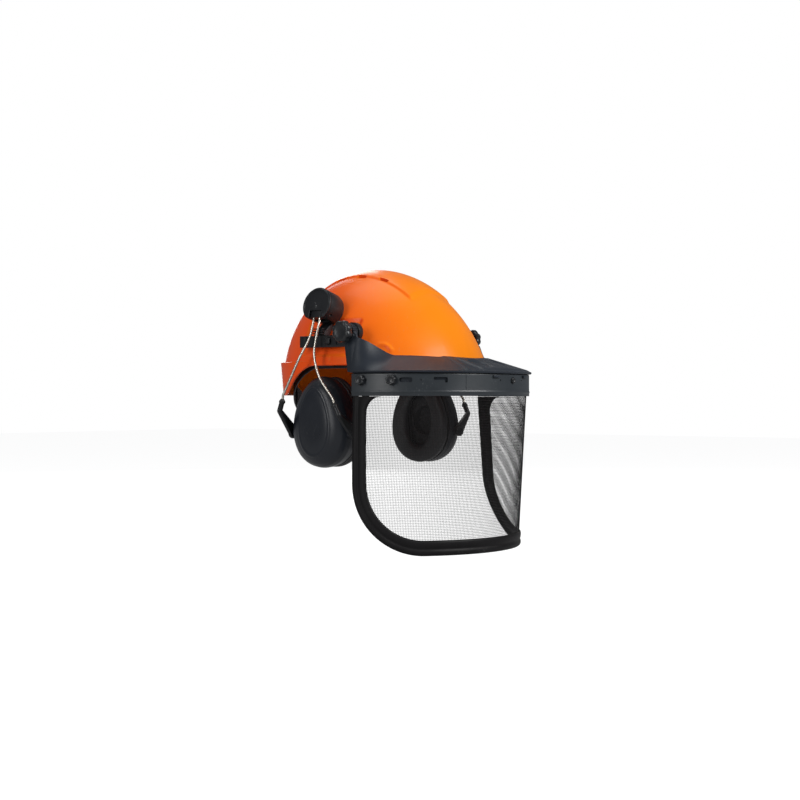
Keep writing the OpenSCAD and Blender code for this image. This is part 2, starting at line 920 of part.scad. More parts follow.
module drum_case() {
  color([0.1, 0.1, 0.11])
    in_drum()
      difference() {
        translate([0, 0, -drum_length])
          linear_extrude(drum_length - 2.3)
            drum_plan(drum_radius, drum_flat);
        translate([0, 0, -drum_length + drum_wall])
          linear_extrude(drum_length)
            drum_plan(drum_radius - drum_wall, drum_flat - drum_wall);
        translate([0, 0, -drum_length - 1])
          cylinder(h = 5, r = pivot_radius + fit);
        translate([0, 0, -0.1])
          wire_window(1);
        for (side = [-1, 1])
          translate([pin_low, side * drum_radius, -pin_in])
            rotate([90, 0, 0])
              cylinder(h = 18, r = pin_radius, center = true);
      }
}

module drum_cap() {
  color([0.12, 0.12, 0.13])
    in_drum()
      difference() {
        union() {
          translate([0, 0, -2.1])
            linear_extrude(2.1)
              drum_plan(drum_radius, drum_flat);
          translate([2, -3, 0])
            cylinder(h = 0.8, r = 3.4);
        }
        wire_window(1);
      }
}

module drum_spring() {
  color("silver")
    in_drum()
      translate([8, 0, -drum_length + drum_wall + 3.6])
        rotate([90, 0, 0])
          translate([0, 0, -4])
            linear_extrude(8)
              difference() {
                circle(r = 3);
                circle(r = 2.3);
                square([4, 4]);
              }
}

// Block that grips the wires by friction and tips on its pin to swing the cup out
module wire_rocker() {
  half_width = wire_gap / 2 + 3;
  inner_face = pin_in + 2;
  outer_face = wire_in - wire_radius - 0.9;
  color([0.15, 0.15, 0.16])
    in_drum()
      difference() {
        translate([-rocker_top, -half_width, -inner_face])
          cube([rocker_top + rocker_bottom, 2 * half_width, inner_face - outer_face]);
        for (side = [-1, 1])
          translate([-rocker_top - 1, side * wire_gap / 2, -wire_in])
            rotate([0, 90, 0])
              cylinder(h = rocker_top + rocker_bottom + 2, r = wire_radius + fit);
        translate([pin_low, 0, -pin_in])
          rotate([90, 0, 0])
            cylinder(h = 30, r = pin_radius + fit, center = true);
      }
}

module rocker_pin() {
  length = 2 * sqrt(pow(drum_radius - 0.6, 2) - pow(pin_low + pin_radius, 2));
  color("silver")
    in_drum()
      translate([pin_low, 0, -pin_in])
        rotate([90, 0, 0])
          cylinder(h = length, r = pin_radius, center = true);
}

function blend_point(points, t) =
  let (
    n = len(points) - 1,
    i = min(n - 1, floor(t * n)),
    s = t * n - i,
    p0 = i == 0 ? 2 * points[0] - points[1] : points[i - 1],
    p1 = points[i],
    p2 = points[i + 1],
    p3 = i == n - 1 ? 2 * points[n] - points[n - 1] : points[i + 2]
  )
  0.5 * (2 * p1 + (p2 - p0) * s + (2 * p0 - 5 * p1 + 4 * p2 - p3) * s * s
    + (3 * p1 - p0 - 3 * p2 + p3) * s * s * s);

// Round bar swept along a smooth line through the points
module swept_wire(points, rings) {
  line = [for (i = [0:rings]) blend_point(points, i / rings)];
  skin([
    for (i = [0:rings])
      let (
        along = unit(line[min(i + 1, rings)] - line[max(i - 1, 0)]),
        side = unit(cross(along, [1, 0, 0])),
        up = cross(side, along)
      )
      [
        for (j = [0:wire_sides - 1])
          let (a = 360 * j / wire_sides)
          line[i] + wire_radius * (cos(a) * side + sin(a) * up)
      ]
  ]);
}

// The wire runs straight in the drum, then bows out to the cup's flank
function wire_route(offset, bends) = concat(
  [for (down = [-wire_top, 0, 14, 21]) drum_place(wire_in, down) + [0, offset, 0]],
  bends
);

// Bend of a wire: its share of the way out from the drum to the arm, its y and its height
function wire_bend(share, behind, z) = [lerp(drum_face[0], -socket_out, share), muff_behind + behind, z];

// Direction of a wire's straight end in the arm on its flank
function wire_end(side) = side > 0 ? [0.6, 2.6, -9] : [0.4, -3.4, -9];

function wire_tail(socket, side) =
  [for (share = [-0.8, -0.4, 0, 0.5, 1]) socket + share * wire_end(side)];

module muff_wires() {
  color("silver") {
    swept_wire(wire_route(wire_gap / 2, concat(
      [wire_bend(0.32, 7, 63), wire_bend(0.68, 17, 43), wire_bend(0.91, 27.5, 21)],
      wire_tail(rear_socket, 1)
    )), 30);
    swept_wire(wire_route(-wire_gap / 2, concat(
      [wire_bend(0.32, -3, 66), wire_bend(0.64, -3, 46), wire_bend(0.91, -12, 24)],
      wire_tail(front_socket, -1)
    )), 30);
  }
}

// Moulded arm from the wire's end to the pivot on the cup's flank
module yoke_arm(socket, side) {
  pivot_y = muff_behind + side * (flank + arm_wall / 2);
  elbow = socket + 1.15 * wire_end(side) + [0, side * 1.2, 0];
  direction = unit(wire_end(side));
  color([0.1, 0.1, 0.11])
    difference() {
      union() {
        hull() {
          translate(socket)
            sphere(r = 2.8, $fn = 20);
          translate(elbow)
            sphere(r = 2.9, $fn = 20);
        }
        hull() {
          translate(elbow)
            sphere(r = 2.9, $fn = 20);
          translate([-pin_out, pivot_y, pin_z])
            rotate([90, 0, 0])
              cylinder(h = arm_wall, r = 6, center = true, $fn = 32);
        }
        translate([-pin_out, pivot_y, pin_z])
          rotate([side * 90, 0, 0])
            cylinder(h = 7, r = pivot_radius);
      }
      translate(socket - 4 * direction)
        rotate([0, acos(direction[2]), atan2(direction[1], direction[0])])
          cylinder(h = 4 + norm(wire_end(side)) + 0.3, r = wire_radius + slip);
    }
}

module front_arm() {
  yoke_arm(front_socket, -1);
}

module rear_arm() {
  yoke_arm(rear_socket, 1);
}

// Egg outline of the cup, shrunk inwards by one distance and scaled by two shares
function cup_ring(out, share_y, share_z, inward) = [
  for (j = [0:39])
    let (
      a = 360 * j / 40,
      y = (cup_width / 2 * share_y - inward) * cos(a) * (1 - 0.17 * sin(a)),
      z = (cup_height / 2 * share_z - inward) * sin(a)
    )
    [-out, muff_behind + y, cup_centre_z + z]
];

// Depth along the cup, and the width and height it leaves there
cup_sections = [
  [0, 0.97, 0.97], [0.15, 0.99, 0.99], [0.4, 1, 1], [0.6, 0.97, 0.975],
  [0.78, 0.86, 0.91], [0.92, 0.68, 0.82], [1, 0.52, 0.74]
];

module ear_cup() {
  outside = [for (s = cup_sections) cup_ring(cup_rim + s[0] * cup_depth, s[1], s[2], 0)];
  inside = [
    for (s = cup_sections)
      cup_ring(cup_rim + s[0] * (cup_depth - cup_wall), s[1], s[2], cup_wall)
  ];
  color([0.16, 0.18, 0.22])
    difference() {
      union() {
        skin(concat(reversed(outside), inside));
        for (side = [-1, 1])
          translate([-pin_out, muff_behind + side * (cup_width / 2 - 3.4), pin_z])
            rotate([90, 0, 0])
              cylinder(h = 7.4, r = 5, center = true);
      }
      translate([-pin_out, muff_behind, pin_z])
        rotate([90, 0, 0])
          cylinder(h = 2 * cup_width, r = pivot_radius + fit, center = true);
    }
}

module cup_foam() {
  color([0.35, 0.35, 0.36])
    difference() {
      skin([
        for (out = [1, 0.55, 0.15])
          cup_ring(cup_rim + out * (cup_depth - cup_wall - 3), lerp(0.86, 0.5, out), lerp(0.86, 0.66, out), 3)
      ]);
      translate([-cup_rim - 2, muff_behind, cup_centre_z])
        rotate([0, 90, 0])
          cylinder(h = 24, r = 17, center = true);
    }
}

module cup_plate() {
  color([0.12, 0.12, 0.13])
    difference() {
      skin([cup_ring(cup_rim - 0.1, 1, 1, 0.6), cup_ring(cup_rim - 2.1, 1, 1, 0.6)]);
      translate([-cup_rim, muff_behind, cup_centre_z])
        scale([1, 0.62, 1])
          rotate([0, 90, 0])
            cylinder(h = 12, r = 30, center = true);
    }
}

module ear_cushion() {
  inner = cup_rim - 2.4 - cushion_depth;
  color([0.13, 0.13, 0.14])
    difference() {
      skin([
        cup_ring(cup_rim - 2.4, 1, 1, 1), cup_ring(cup_rim - 2.4 - cushion_depth * 0.3, 1, 1, 0),
        cup_ring(cup_rim - 2.4 - cushion_depth * 0.75, 1, 1, 0.6), cup_ring(inner, 1, 1, 4)
      ]);
      translate([-inner - 3, muff_behind, cup_centre_z])
        scale([1, 0.6, 1])
          rotate([0, 90, 0])
            cylinder(h = 40, r = 29, center = true);
    }
}

helmet_shell();
headband();
brow_pad();
web_front_left();
web_side();
web_front_right();
crown_pad();
web_keys();
nape_strap();
nape_pad();
ratchet_case();
ratchet_pinion();
ratchet_knob();
brow_guard();
screen_rail();
screen_mesh();
edge_trim();
rail_nuts();
rail_studs();
rail_clips();
hinge_washers();
hinge_bolts();
on_side("right") slot_adapter();  // right_slot_adapter
on_side("right") hinge_knob();  // right_hinge_knob
on_side("right") muff_bracket();  // right_muff_bracket
on_side("right") drum_spindle();  // right_drum_spindle
on_side("right") drum_case();  // right_drum_case
on_side("right") drum_cap();  // right_drum_cap
on_side("right") drum_spring();  // right_drum_spring
on_side("right") wire_rocker();  // right_wire_rocker
on_side("right") rocker_pin();  // right_rocker_pin
on_side("right") muff_wires();  // right_muff_wires
on_side("right") front_arm();  // right_front_arm
on_side("right") rear_arm();  // right_rear_arm
on_side("right") ear_cup();  // right_ear_cup
on_side("right") cup_foam();  // right_cup_foam
on_side("right") cup_plate();  // right_cup_plate
on_side("right") ear_cushion();  // right_ear_cushion
on_side("left") slot_adapter();  // left_slot_adapter
on_side("left") hinge_knob();  // left_hinge_knob
on_side("left") muff_bracket();  // left_muff_bracket
on_side("left") drum_spindle();  // left_drum_spindle
on_side("left") drum_case();  // left_drum_case
on_side("left") drum_cap();  // left_drum_cap
on_side("left") drum_spring();  // left_drum_spring
on_side("left") wire_rocker();  // left_wire_rocker
on_side("left") rocker_pin();  // left_rocker_pin
on_side("left") muff_wires();  // left_muff_wires
on_side("left") front_arm();  // left_front_arm
on_side("left") rear_arm();  // left_rear_arm
on_side("left") ear_cup();  // left_ear_cup
on_side("left") cup_foam();  // left_cup_foam
on_side("left") cup_plate();  // left_cup_plate
on_side("left") ear_cushion();  // left_ear_cushion
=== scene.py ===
import math

import bmesh
import bpy
import numpy as np
from mathutils import Euler, Matrix, Vector


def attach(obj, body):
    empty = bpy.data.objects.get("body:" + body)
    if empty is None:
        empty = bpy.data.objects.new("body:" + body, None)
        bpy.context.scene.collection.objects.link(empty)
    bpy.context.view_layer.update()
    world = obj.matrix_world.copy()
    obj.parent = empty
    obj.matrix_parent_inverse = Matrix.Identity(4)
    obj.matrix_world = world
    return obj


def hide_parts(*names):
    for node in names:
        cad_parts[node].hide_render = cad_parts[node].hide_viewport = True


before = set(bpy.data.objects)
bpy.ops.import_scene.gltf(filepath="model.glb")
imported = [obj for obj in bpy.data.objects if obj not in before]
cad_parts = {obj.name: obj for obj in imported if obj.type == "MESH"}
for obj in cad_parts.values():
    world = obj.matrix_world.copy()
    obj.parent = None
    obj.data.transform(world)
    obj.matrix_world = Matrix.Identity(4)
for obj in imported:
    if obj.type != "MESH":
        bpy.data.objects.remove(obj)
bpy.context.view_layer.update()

# ------------------------------------------------------------------ studio
# A white studio sweep with one large soft box ahead of the helmet, a weaker one on the
# wearer's right and a strip behind. The camera stands level with the brim, 1.53 m away.
scene = bpy.context.scene
scene.view_settings.view_transform = "Standard"

VIEW_BEARING = math.radians(-53)
VIEW_DISTANCE = 1.53
camera = bpy.data.objects.new("camera", bpy.data.cameras.new("camera"))
camera.location = (
    VIEW_DISTANCE * math.sin(VIEW_BEARING),
    -VIEW_DISTANCE * math.cos(VIEW_BEARING),
    0.0,
)
camera.rotation_euler = (math.radians(90), 0, VIEW_BEARING)
camera.data.sensor_width = 36
camera.data.lens = 63.2
camera.data.shift_x = 0.01875
scene.collection.objects.link(camera)
scene.camera = camera


def soft_box(name, place, size, power):
    lamp = bpy.data.objects.new(name, bpy.data.lights.new(name, "AREA"))
    lamp.data.shape = "RECTANGLE"
    lamp.data.size, lamp.data.size_y = size
    lamp.data.energy = power
    lamp.location = place
    lamp.rotation_euler = (-Vector(place)).to_track_quat("-Z", "Y").to_euler()
    scene.collection.objects.link(lamp)


soft_box("front_box", (0.1, -2.1, 1.2), (1.3, 1.1), 62)
soft_box("side_box", (-2.2, 0.1, 0.7), (0.6, 1.5), 21)
soft_box("top_box", (0.3, 0.5, 2.2), (1.4, 1.4), 16)
soft_box("rear_strip", (1.6, 1.6, 0.7), (0.5, 1.8), 16)

backdrop = bpy.data.worlds.new("white_sweep")
scene.world = backdrop
backdrop.use_nodes = True
sky = backdrop.node_tree
sky.nodes.clear()
sky_out = sky.nodes.new("ShaderNodeOutputWorld")
sky_mix = sky.nodes.new("ShaderNodeMixShader")
sky_path = sky.nodes.new("ShaderNodeLightPath")
for slot_index, (tone, strength) in enumerate((((0.93, 0.96, 1.0, 1), 0.17), ((1, 1, 1, 1), 1.0))):
    glow = sky.nodes.new("ShaderNodeBackground")
    glow.inputs["Color"].default_value = tone
    glow.inputs["Strength"].default_value = strength
    sky.links.new(glow.outputs[0], sky_mix.inputs[1 + slot_index])
sky.links.new(sky_path.outputs["Is Camera Ray"], sky_mix.inputs[0])
sky.links.new(sky_mix.outputs[0], sky_out.inputs["Surface"])

FLOOR_HEIGHT = -0.2
FLOOR_REACH = 6.0
floor_mesh = bpy.data.meshes.new("floor")
floor_mesh.from_pydata(
    [(x * FLOOR_REACH, y * FLOOR_REACH, FLOOR_HEIGHT) for x, y in ((-1, -1), (1, -1), (1, 1), (-1, 1))],
    [], [(0, 1, 2, 3)],
)
floor = bpy.data.objects.new("floor", floor_mesh)
scene.collection.objects.link(floor)
floor_finish = bpy.data.materials.new("pale_floor")
floor_finish.use_nodes = True
floor_shader = floor_finish.node_tree.nodes["Principled BSDF"]
floor_shader.inputs["Base Color"].default_value = (0.14, 0.14, 0.14, 1)
floor_shader.inputs["Roughness"].default_value = 0.9
floor_shader.inputs["Emission Color"].default_value = (1, 1, 1, 1)
floor_seen = floor_finish.node_tree.nodes.new("ShaderNodeLightPath")
floor_glow = floor_finish.node_tree.nodes.new("ShaderNodeMapRange")
floor_glow.inputs["To Min"].default_value = 0.26
floor_glow.inputs["To Max"].default_value = 0.93
floor_finish.node_tree.links.new(floor_seen.outputs["Is Camera Ray"], floor_glow.inputs["Value"])
floor_finish.node_tree.links.new(floor_glow.outputs[0], floor_shader.inputs["Emission Strength"])
floor_mesh.materials.append(floor_finish)

# ------------------------------------------------------------------- shell
# The helmet shell: one injection moulding in glossy orange plastic, 2.6 mm thick, with a
# raised crown panel, six vents along its edges, an accessory slot in a shallow pocket on
# each side and a skirt that steps out at the rear. Sizes are in millimetres until built.
MM = 0.001
SHELL_A, SHELL_B, SHELL_H = 118.5, 104.0, 140.0
SHELL_WALL = 2.6
LEDGE_Z = 41.0
CROWN_LEAN = 0.105
RIM_FRONT, RIM_SIDE, RIM_REAR = 25.0, 37.0, 6.0
PEAK_REACH = 26.0
PANEL_HALF, PANEL_RISE = 36.5, 1.8
POCKET_DEPTH = 2.0
VENT_SIDE, VENT_PITCH = 35, 28
SLOT_SIDE, SLOT_Z = 94.5, 58.5


def ease(t):
    t = np.clip(t, 0, 1)
    return t * t * (3 - 2 * t)


def lerp(a, b, t):
    return a + (b - a) * t


def dome_scale(z):
    return np.sqrt(np.clip(1 - (z / SHELL_H) ** 2, 0, 1))


def lean(z):
    return CROWN_LEAN * (z - 33)


def rim_height(bearing):
    a = np.abs(bearing)
    front = lerp(RIM_FRONT, RIM_SIDE, ease((a - 42) / 35))
    return np.where(a <= 100, front, lerp(RIM_SIDE, RIM_REAR, ease((a - 100) / 33)))


def shell_rows(columns, dome_rows, skirt_rows):
    bearing = np.linspace(-180, 180, columns, endpoint=False)
    turn = np.radians(bearing)
    rows = []
    for tilt in np.radians(np.linspace(0.7, math.degrees(math.acos(LEDGE_Z / SHELL_H)), dome_rows)):
        z = np.full(columns, SHELL_H * math.cos(tilt))
        rows.append(np.stack([
            SHELL_B * math.sin(tilt) * np.sin(turn),
            -SHELL_A * math.sin(tilt) * np.cos(turn) + lean(z),
            z,
        ], 1))
    skirt = ease((np.abs(bearing) - 102) / 18)
    peak_share = 1 - ease((np.abs(bearing) - 30) / 38)
    step_rows = 5
    for step in range(step_rows + skirt_rows):
        out = ease((step + 1) / step_rows) if step < step_rows else 1.0
        share = max(0, step + 1 - step_rows) / skirt_rows
        z = lerp(LEDGE_Z - 0.8 * min(1, (step + 1) / step_rows), rim_height(bearing), share)
        reach = lerp(dome_scale(z), 1.0, skirt * out)
        peak = PEAK_REACH * peak_share * share
        rows.append(np.stack([
            (SHELL_B * reach + 0.9 * peak) * np.sin(turn),
            -(SHELL_A * reach + peak) * np.cos(turn) + lean(z),
            z,
        ], 1))
    return np.array(rows)


def grid_normals(grid):
    along = np.roll(grid, -1, 1) - np.roll(grid, 1, 1)
    down = np.empty_like(grid)
    down[1:-1] = grid[2:] - grid[:-2]
    down[0], down[-1] = grid[1] - grid[0], grid[-1] - grid[-2]
    normal = np.cross(down, along)
    return normal / np.linalg.norm(normal, axis=2, keepdims=True)


def band(value, low, high, soft):
    """1 between low and high, fading to 0 over a soft edge on each side."""
    return ease((value - low + soft) / soft) * ease((high + soft - value) / soft)


def crown_panel(x, y, z):
    ends = ease((y + 62) / 5) * ease((z - 52) / 8)
    return PANEL_RISE * ease((PANEL_HALF - np.abs(x)) / 3) * ends


def side_pocket(x, y, z):
    beside = band(y, -28, 38, 2.2) * band(z, 47.5, 82, 2.5) * (np.abs(x) > 60)
    return -POCKET_DEPTH * beside


def moulded_marks(x, y, z):
    marks = np.zeros_like(x)
    for across in (-4.3, 10.0):
        groove = band(y, across - 0.5, across + 0.5, 0.6) * band(z, 40.5, 45, 0.8)
        marks -= 0.7 * groove * (np.abs(x) > 60)
    turn = np.degrees(np.arctan2(np.abs(x), -y))
    ring = np.hypot((turn - 55) * 1.75, (z - 46) * 1.0)
    marks += 1.1 * band(ring, 10, 12, 1.2) * (z > 50) * band(turn, 47, 62, 2) * (y < 0)
    return marks


def ring_faces(rows, columns):
    first = np.arange(rows - 1)[:, None] * columns + np.arange(columns)[None]
    right = np.arange(rows - 1)[:, None] * columns + (np.arange(columns)[None] + 1) % columns
    return np.stack([first, first + columns, right + columns, right], 2).reshape(-1, 4).tolist()


def loft(rings):
    """Closed skin through a list of like closed outlines, with a flat face at each end."""
    rings = np.asarray(rings, float)
    rows, columns = rings.shape[:2]
    ends = [list(range(columns)), [(rows - 1) * columns + k for k in reversed(range(columns))]]
    return rings.reshape(-1, 3), ring_faces(rows, columns) + ends


def build(name, points, faces, crease=35):
    """A mesh object from points in millimetres, with outward faces and smooth shading."""
    mesh = bpy.data.meshes.new(name)
    mesh.from_pydata((np.asarray(points) * MM).tolist(), [], faces)
    tidy = bmesh.new()
    tidy.from_mesh(mesh)
    bmesh.ops.recalc_face_normals(tidy, faces=tidy.faces)
    tidy.to_mesh(mesh)
    tidy.free()
    piece = bpy.data.objects.new(name, mesh)
    scene.collection.objects.link(piece)
    shade(piece, crease)
    return piece


def shade(piece, crease=35):
    mesh = piece.data
    mesh.polygons.foreach_set("use_smooth", [True] * len(mesh.polygons))
    mesh.set_sharp_from_angle(angle=math.radians(crease))


def bake_modifiers(piece, crease=35):
    """Turns the piece's modifiers into plain mesh."""
    depsgraph = bpy.context.evaluated_depsgraph_get()
    settled = bpy.data.meshes.new_from_object(piece.evaluated_get(depsgraph))
    piece.modifiers.clear()
    old, piece.data = piece.data, settled
    bpy.data.meshes.remove(old)
    shade(piece, crease)


def join(name, parts, crease=35):
    """One object from several, in the order given."""
    whole = bmesh.new()
    for part in parts:
        whole.from_mesh(part.data)
        bpy.data.objects.remove(part)
    mesh = bpy.data.meshes.new(name)
    whole.to_mesh(mesh)
    whole.free()
    piece = bpy.data.objects.new(name, mesh)
    scene.collection.objects.link(piece)
    shade(piece, crease)
    return piece


def cut(piece, cutters, crease=35):
    """Cuts the cutters out of the piece and throws them away."""
    tool = join(piece.name + "_tool", cutters)
    hole = piece.modifiers.new("cut", "BOOLEAN")
    hole.operation, hole.object, hole.solver = "DIFFERENCE", tool, "EXACT"
    bake_modifiers(piece, crease)
    bpy.data.objects.remove(tool)


def fillet(corners, radius, steps=3):
    """The closed outline with each corner rounded off."""
    outline = []
    corners = [np.asarray(c, float) for c in corners]
    for i, corner in enumerate(corners):
        before, after = corners[i - 1] - corner, corners[(i + 1) % len(corners)] - corner
        reach_before, reach_after = np.linalg.norm(before), np.linalg.norm(after)
        reach = min(radius, 0.48 * reach_before, 0.48 * reach_after)
        start = corner + before / reach_before * reach
        end = corner + after / reach_after * reach
        for s in np.linspace(0, 1, steps + 1):
            outline.append((1 - s) ** 2 * start + 2 * s * (1 - s) * corner + s * s * end)
    return outline


def prism(name, outline, low, high, matrix=Matrix(), edge=0.0):
    """A flat outline drawn out along z from low to high, with its two edges eased, then placed."""
    flat = np.array(outline)
    middle = flat.mean(0)
    size = np.abs(flat - middle).max()
    stations = [(low, 0), (high, 0)]
    if edge:
        stations = [(low, edge), (low + edge * 0.3, edge * 0.3), (low + edge, 0),
                    (high - edge, 0), (high - edge * 0.3, edge * 0.3), (high, edge)]
    rings = [[(*(middle + (p - middle) * (1 - inset / size)), z) for p in flat] for z, inset in stations]
    points, faces = loft(rings)
    return build(name, np.array([matrix @ Vector(p) for p in points]), faces)


def box_outline(width, height, radius, steps=3):
    x, y = width / 2, height / 2
    return fillet([(-x, -y), (x, -y), (x, y), (-x, y)], radius, steps)


def placed(place, turn=(0, 0, 0)):
    """Matrix for a place in millimetres and turns about x, y and z in degrees."""
    return Matrix.Translation(place) @ Euler([math.radians(t) for t in turn]).to_matrix().to_4x4()


outside = shell_rows(400, 100, 26)
normals = grid_normals(outside)
x, y, z = outside[..., 0], outside[..., 1], outside[..., 2]
pocket = side_pocket(x, y, z)
relief = crown_panel(x, y, z) + pocket + moulded_marks(x, y, z)
inside = outside + (pocket - SHELL_WALL)[..., None] * normals
outside = outside + relief[..., None] * normals
edge_middle = (outside[-1] + inside[-1]) / 2
edge_half = outside[-1] - edge_middle
rim = [
    edge_middle + edge_half * math.cos(t) + np.array([0, 0, -1.2]) * math.sin(t)
    for t in np.radians([25, 50, 75, 105, 130, 155])
]
shell = build("helmet_shell_moulding", *loft(np.concatenate([outside, rim, inside[::-1]])), crease=50)
cutters = []
for side in (-1, 1):
    for row in (-1, 0, 1):
        cutters.append(prism("vent", box_outline(4, 12, 1.8), -20, 20,
                             placed((side * VENT_SIDE, 4 + row * VENT_PITCH, 130),
                                    (0, side * 20, side * row * -4))))
    cutters.append(prism("slot", box_outline(5.6, 30.6, 1.5), -14, 14,
                         placed((side * SLOT_SIDE, 0, SLOT_Z), (0, 90, 0))))
cut(shell, cutters, crease=50)


def add_node(tree, kind, inputs=None, **settings):
    node = tree.nodes.new(kind)
    for key, value in settings.items():
        setattr(node, key, value)
    for key, value in (inputs or {}).items():
        if isinstance(value, bpy.types.NodeSocket):
            tree.links.new(value, node.inputs[key])
        else:
            node.inputs[key].default_value = value
    return node


def node_group(name, inputs, outputs):
    """An empty shader group with float inputs that have start values, and float outputs."""
    group = bpy.data.node_groups.new(name, "ShaderNodeTree")
    for label, start in inputs.items():
        socket = group.interface.new_socket(label, in_out="INPUT", socket_type="NodeSocketFloat")
        socket.default_value = start
    for label in outputs:
        group.interface.new_socket(label, in_out="OUTPUT", socket_type="NodeSocketFloat")
    return group, group.nodes.new("NodeGroupInput"), group.nodes.new("NodeGroupOutput")


def noise(tree, vector, scale, detail, **more):
    return add_node(tree, "ShaderNodeTexNoise",
                    {"Vector": vector, "Scale": scale, "Detail": detail, **more}).outputs[0]


def maths(tree, operation, *values):
    return add_node(tree, "ShaderNodeMath", dict(enumerate(values)), operation=operation).outputs[0]


def ranged(tree, value, low, high, to_low=0.0, to_high=1.0):
    """The value carried from one range to another and held at its ends."""
    return add_node(tree, "ShaderNodeMapRange", {
        0: value, "From Min": low, "From Max": high, "To Min": to_low, "To Max": to_high,
    }).outputs[0]


def mixed(tree, share, first, second):
    """The first colour where the share is 0, the second where it is 1."""
    return add_node(tree, "ShaderNodeMix", {0: share, 6: first, 7: second}, data_type="RGBA").outputs[2]


def tint(colour, factor, lift=0.0):
    return (*(min(1, factor * c + lift) for c in colour), 1)


def new_finish(name, **sockets):
    """A material and its main shader, with the shader's own sockets set by name."""
    material = bpy.data.materials.new(name)
    material.use_nodes = True
    shader = material.node_tree.nodes["Principled BSDF"]
    for socket, value in sockets.items():
        shader.inputs[socket.replace("_", " ")].default_value = value
    return material, material.node_tree, shader


def relief_on(tree, shader, height, strength, distance):
    bump = add_node(tree, "ShaderNodeBump", {"Height": height, "Strength": strength, "Distance": distance})
    tree.links.new(bump.outputs[0], shader.inputs["Normal"])


def moulding_wear_group():
    """Cloudy tone, fine moulded grain, light scuffs and settled dust, in the piece's own space."""
    group, given, result = node_group(
        "moulding_wear",
        {"Grain Scale": 900.0, "Cloud Scale": 18.0, "Scuff Amount": 0.3, "Dust Amount": 0.2},
        ["Tone", "Grain", "Scuffs", "Dust"],
    )
    place = add_node(group, "ShaderNodeTexCoord")
    spot = place.outputs["Object"]
    stretched = add_node(group, "ShaderNodeMapping", {
        "Vector": spot, "Rotation": (0.5, 0.4, 0.8), "Scale": (60.0, 900.0, 300.0),
    })
    patches = noise(group, spot, 26.0, 2.0)
    scratches = ranged(group, noise(group, stretched.outputs[0], 1.0, 2.0), 0.63, 0.75)
    scuffs = maths(group, "MULTIPLY", scratches, ranged(group, patches, 0.5, 0.68))
    facing = add_node(group, "ShaderNodeSeparateXYZ", {0: place.outputs["Normal"]})
    upward = ranged(group, facing.outputs["Z"], 0.1, 1.0)
    speckle = noise(group, spot, 420.0, 6.0, Roughness=0.75)
    settled = ranged(group, maths(group, "MULTIPLY", speckle, patches), 0.22, 0.42)
    lying = maths(group, "MULTIPLY", settled, upward)
    for label, value in (
        ("Tone", noise(group, spot, given.outputs["Cloud Scale"], 5.0, Roughness=0.6)),
        ("Grain", noise(group, spot, given.outputs["Grain Scale"], 3.0, Roughness=0.55)),
        ("Scuffs", maths(group, "MULTIPLY", scuffs, given.outputs["Scuff Amount"])),
        ("Dust", maths(group, "MULTIPLY", lying, given.outputs["Dust Amount"])),
    ):
        group.links.new(value, result.inputs[label])
    return group


MOULDING_WEAR = moulding_wear_group()
DUST_COLOUR = (0.42, 0.39, 0.34, 1)


def moulded_plastic(name, colour, roughness, grain=0.1, grain_scale=900.0, scuffs=0.3, dust=0.15,
                    shade_range=0.12, coat=0.0, specular=0.5):
    """Injection-moulded plastic: cloudy tone, fine grain, scuffs that dull it and a little dust."""
    material, tree, shader = new_finish(name, Specular_IOR_Level=specular, Coat_Weight=coat,
                                        Coat_Roughness=0.12)
    wear = add_node(tree, "ShaderNodeGroup", node_tree=MOULDING_WEAR)
    for label, value in (("Grain Scale", grain_scale), ("Scuff Amount", scuffs), ("Dust Amount", dust)):
        wear.inputs[label].default_value = value
    ramp = add_node(tree, "ShaderNodeValToRGB", {0: wear.outputs["Tone"]})
    deep, pale = ramp.color_ramp.elements
    deep.position, pale.position = 0.32, 0.68
    deep.color, pale.color = tint(colour, 1 - shade_range), tint(colour, 1 + shade_range)
    scuffed = mixed(tree, wear.outputs["Scuffs"], ramp.outputs[0], tint(colour, 0.55, 0.12))
    dusted = mixed(tree, wear.outputs["Dust"], scuffed, DUST_COLOUR)
    tree.links.new(dusted, shader.inputs["Base Color"])
    dull = ranged(tree, wear.outputs["Tone"], 0.3, 0.7, roughness * 0.88, roughness * 1.12)
    worn = maths(tree, "MULTIPLY_ADD", wear.outputs["Scuffs"], 0.35, dull)
    dusty = maths(tree, "MULTIPLY_ADD", wear.outputs["Dust"], 0.5, worn)
    tree.links.new(dusty, shader.inputs["Roughness"])
    relief_on(tree, shader, wear.outputs["Grain"], grain, 0.0004)
    return material


def fit(piece, body, slot_name, material, *nodes):
    """Gives a piece its finish and its body, and hides the nodes that it stands for."""
    piece.data.materials.clear()
    piece.data.materials.append(material)
    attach(piece, body)
    if nodes:
        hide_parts(*nodes)
    return piece


orange_shell = moulded_plastic("orange_shell", (0.74, 0.195, 0.003), 0.34, grain=0.035, grain_scale=320,
                               scuffs=0.3, dust=0.02, shade_range=0.04, coat=0.05, specular=0.12)


def painted_key_light_shading(material, painted_shade_colour):
    """Painted shade: the orange turns to the given deeper red on faces turned away from the front soft box, and
    stays orange on faces turned towards it.
    """
    tree = material.node_tree
    ramp = tree.nodes["Color Ramp"]
    place = add_node(tree, "ShaderNodeTexCoord")
    # Painted light and shade: how squarely each face looks towards the front soft box.
    faces_front_box = add_node(tree, "ShaderNodeVectorMath", {0: place.outputs["Normal"], 1: (0.1, -0.84, 0.53)},
                        operation="DOT_PRODUCT")
    onward = [link.to_socket for link in ramp.outputs[0].links]
    painted_shade_mix = mixed(tree, ranged(tree, faces_front_box.outputs["Value"], 0.05, 0.95), (*painted_shade_colour, 1), ramp.outputs[0])
    for socket in onward:
        tree.links.new(painted_shade_mix, socket)


# Painted shade on the shell: a deeper red where its faces turn away from the front soft box.
painted_key_light_shading(orange_shell, (0.86, 0.085, 0.009))
fit(shell, "helmet", "shell_orange", orange_shell, "helmet_shell")

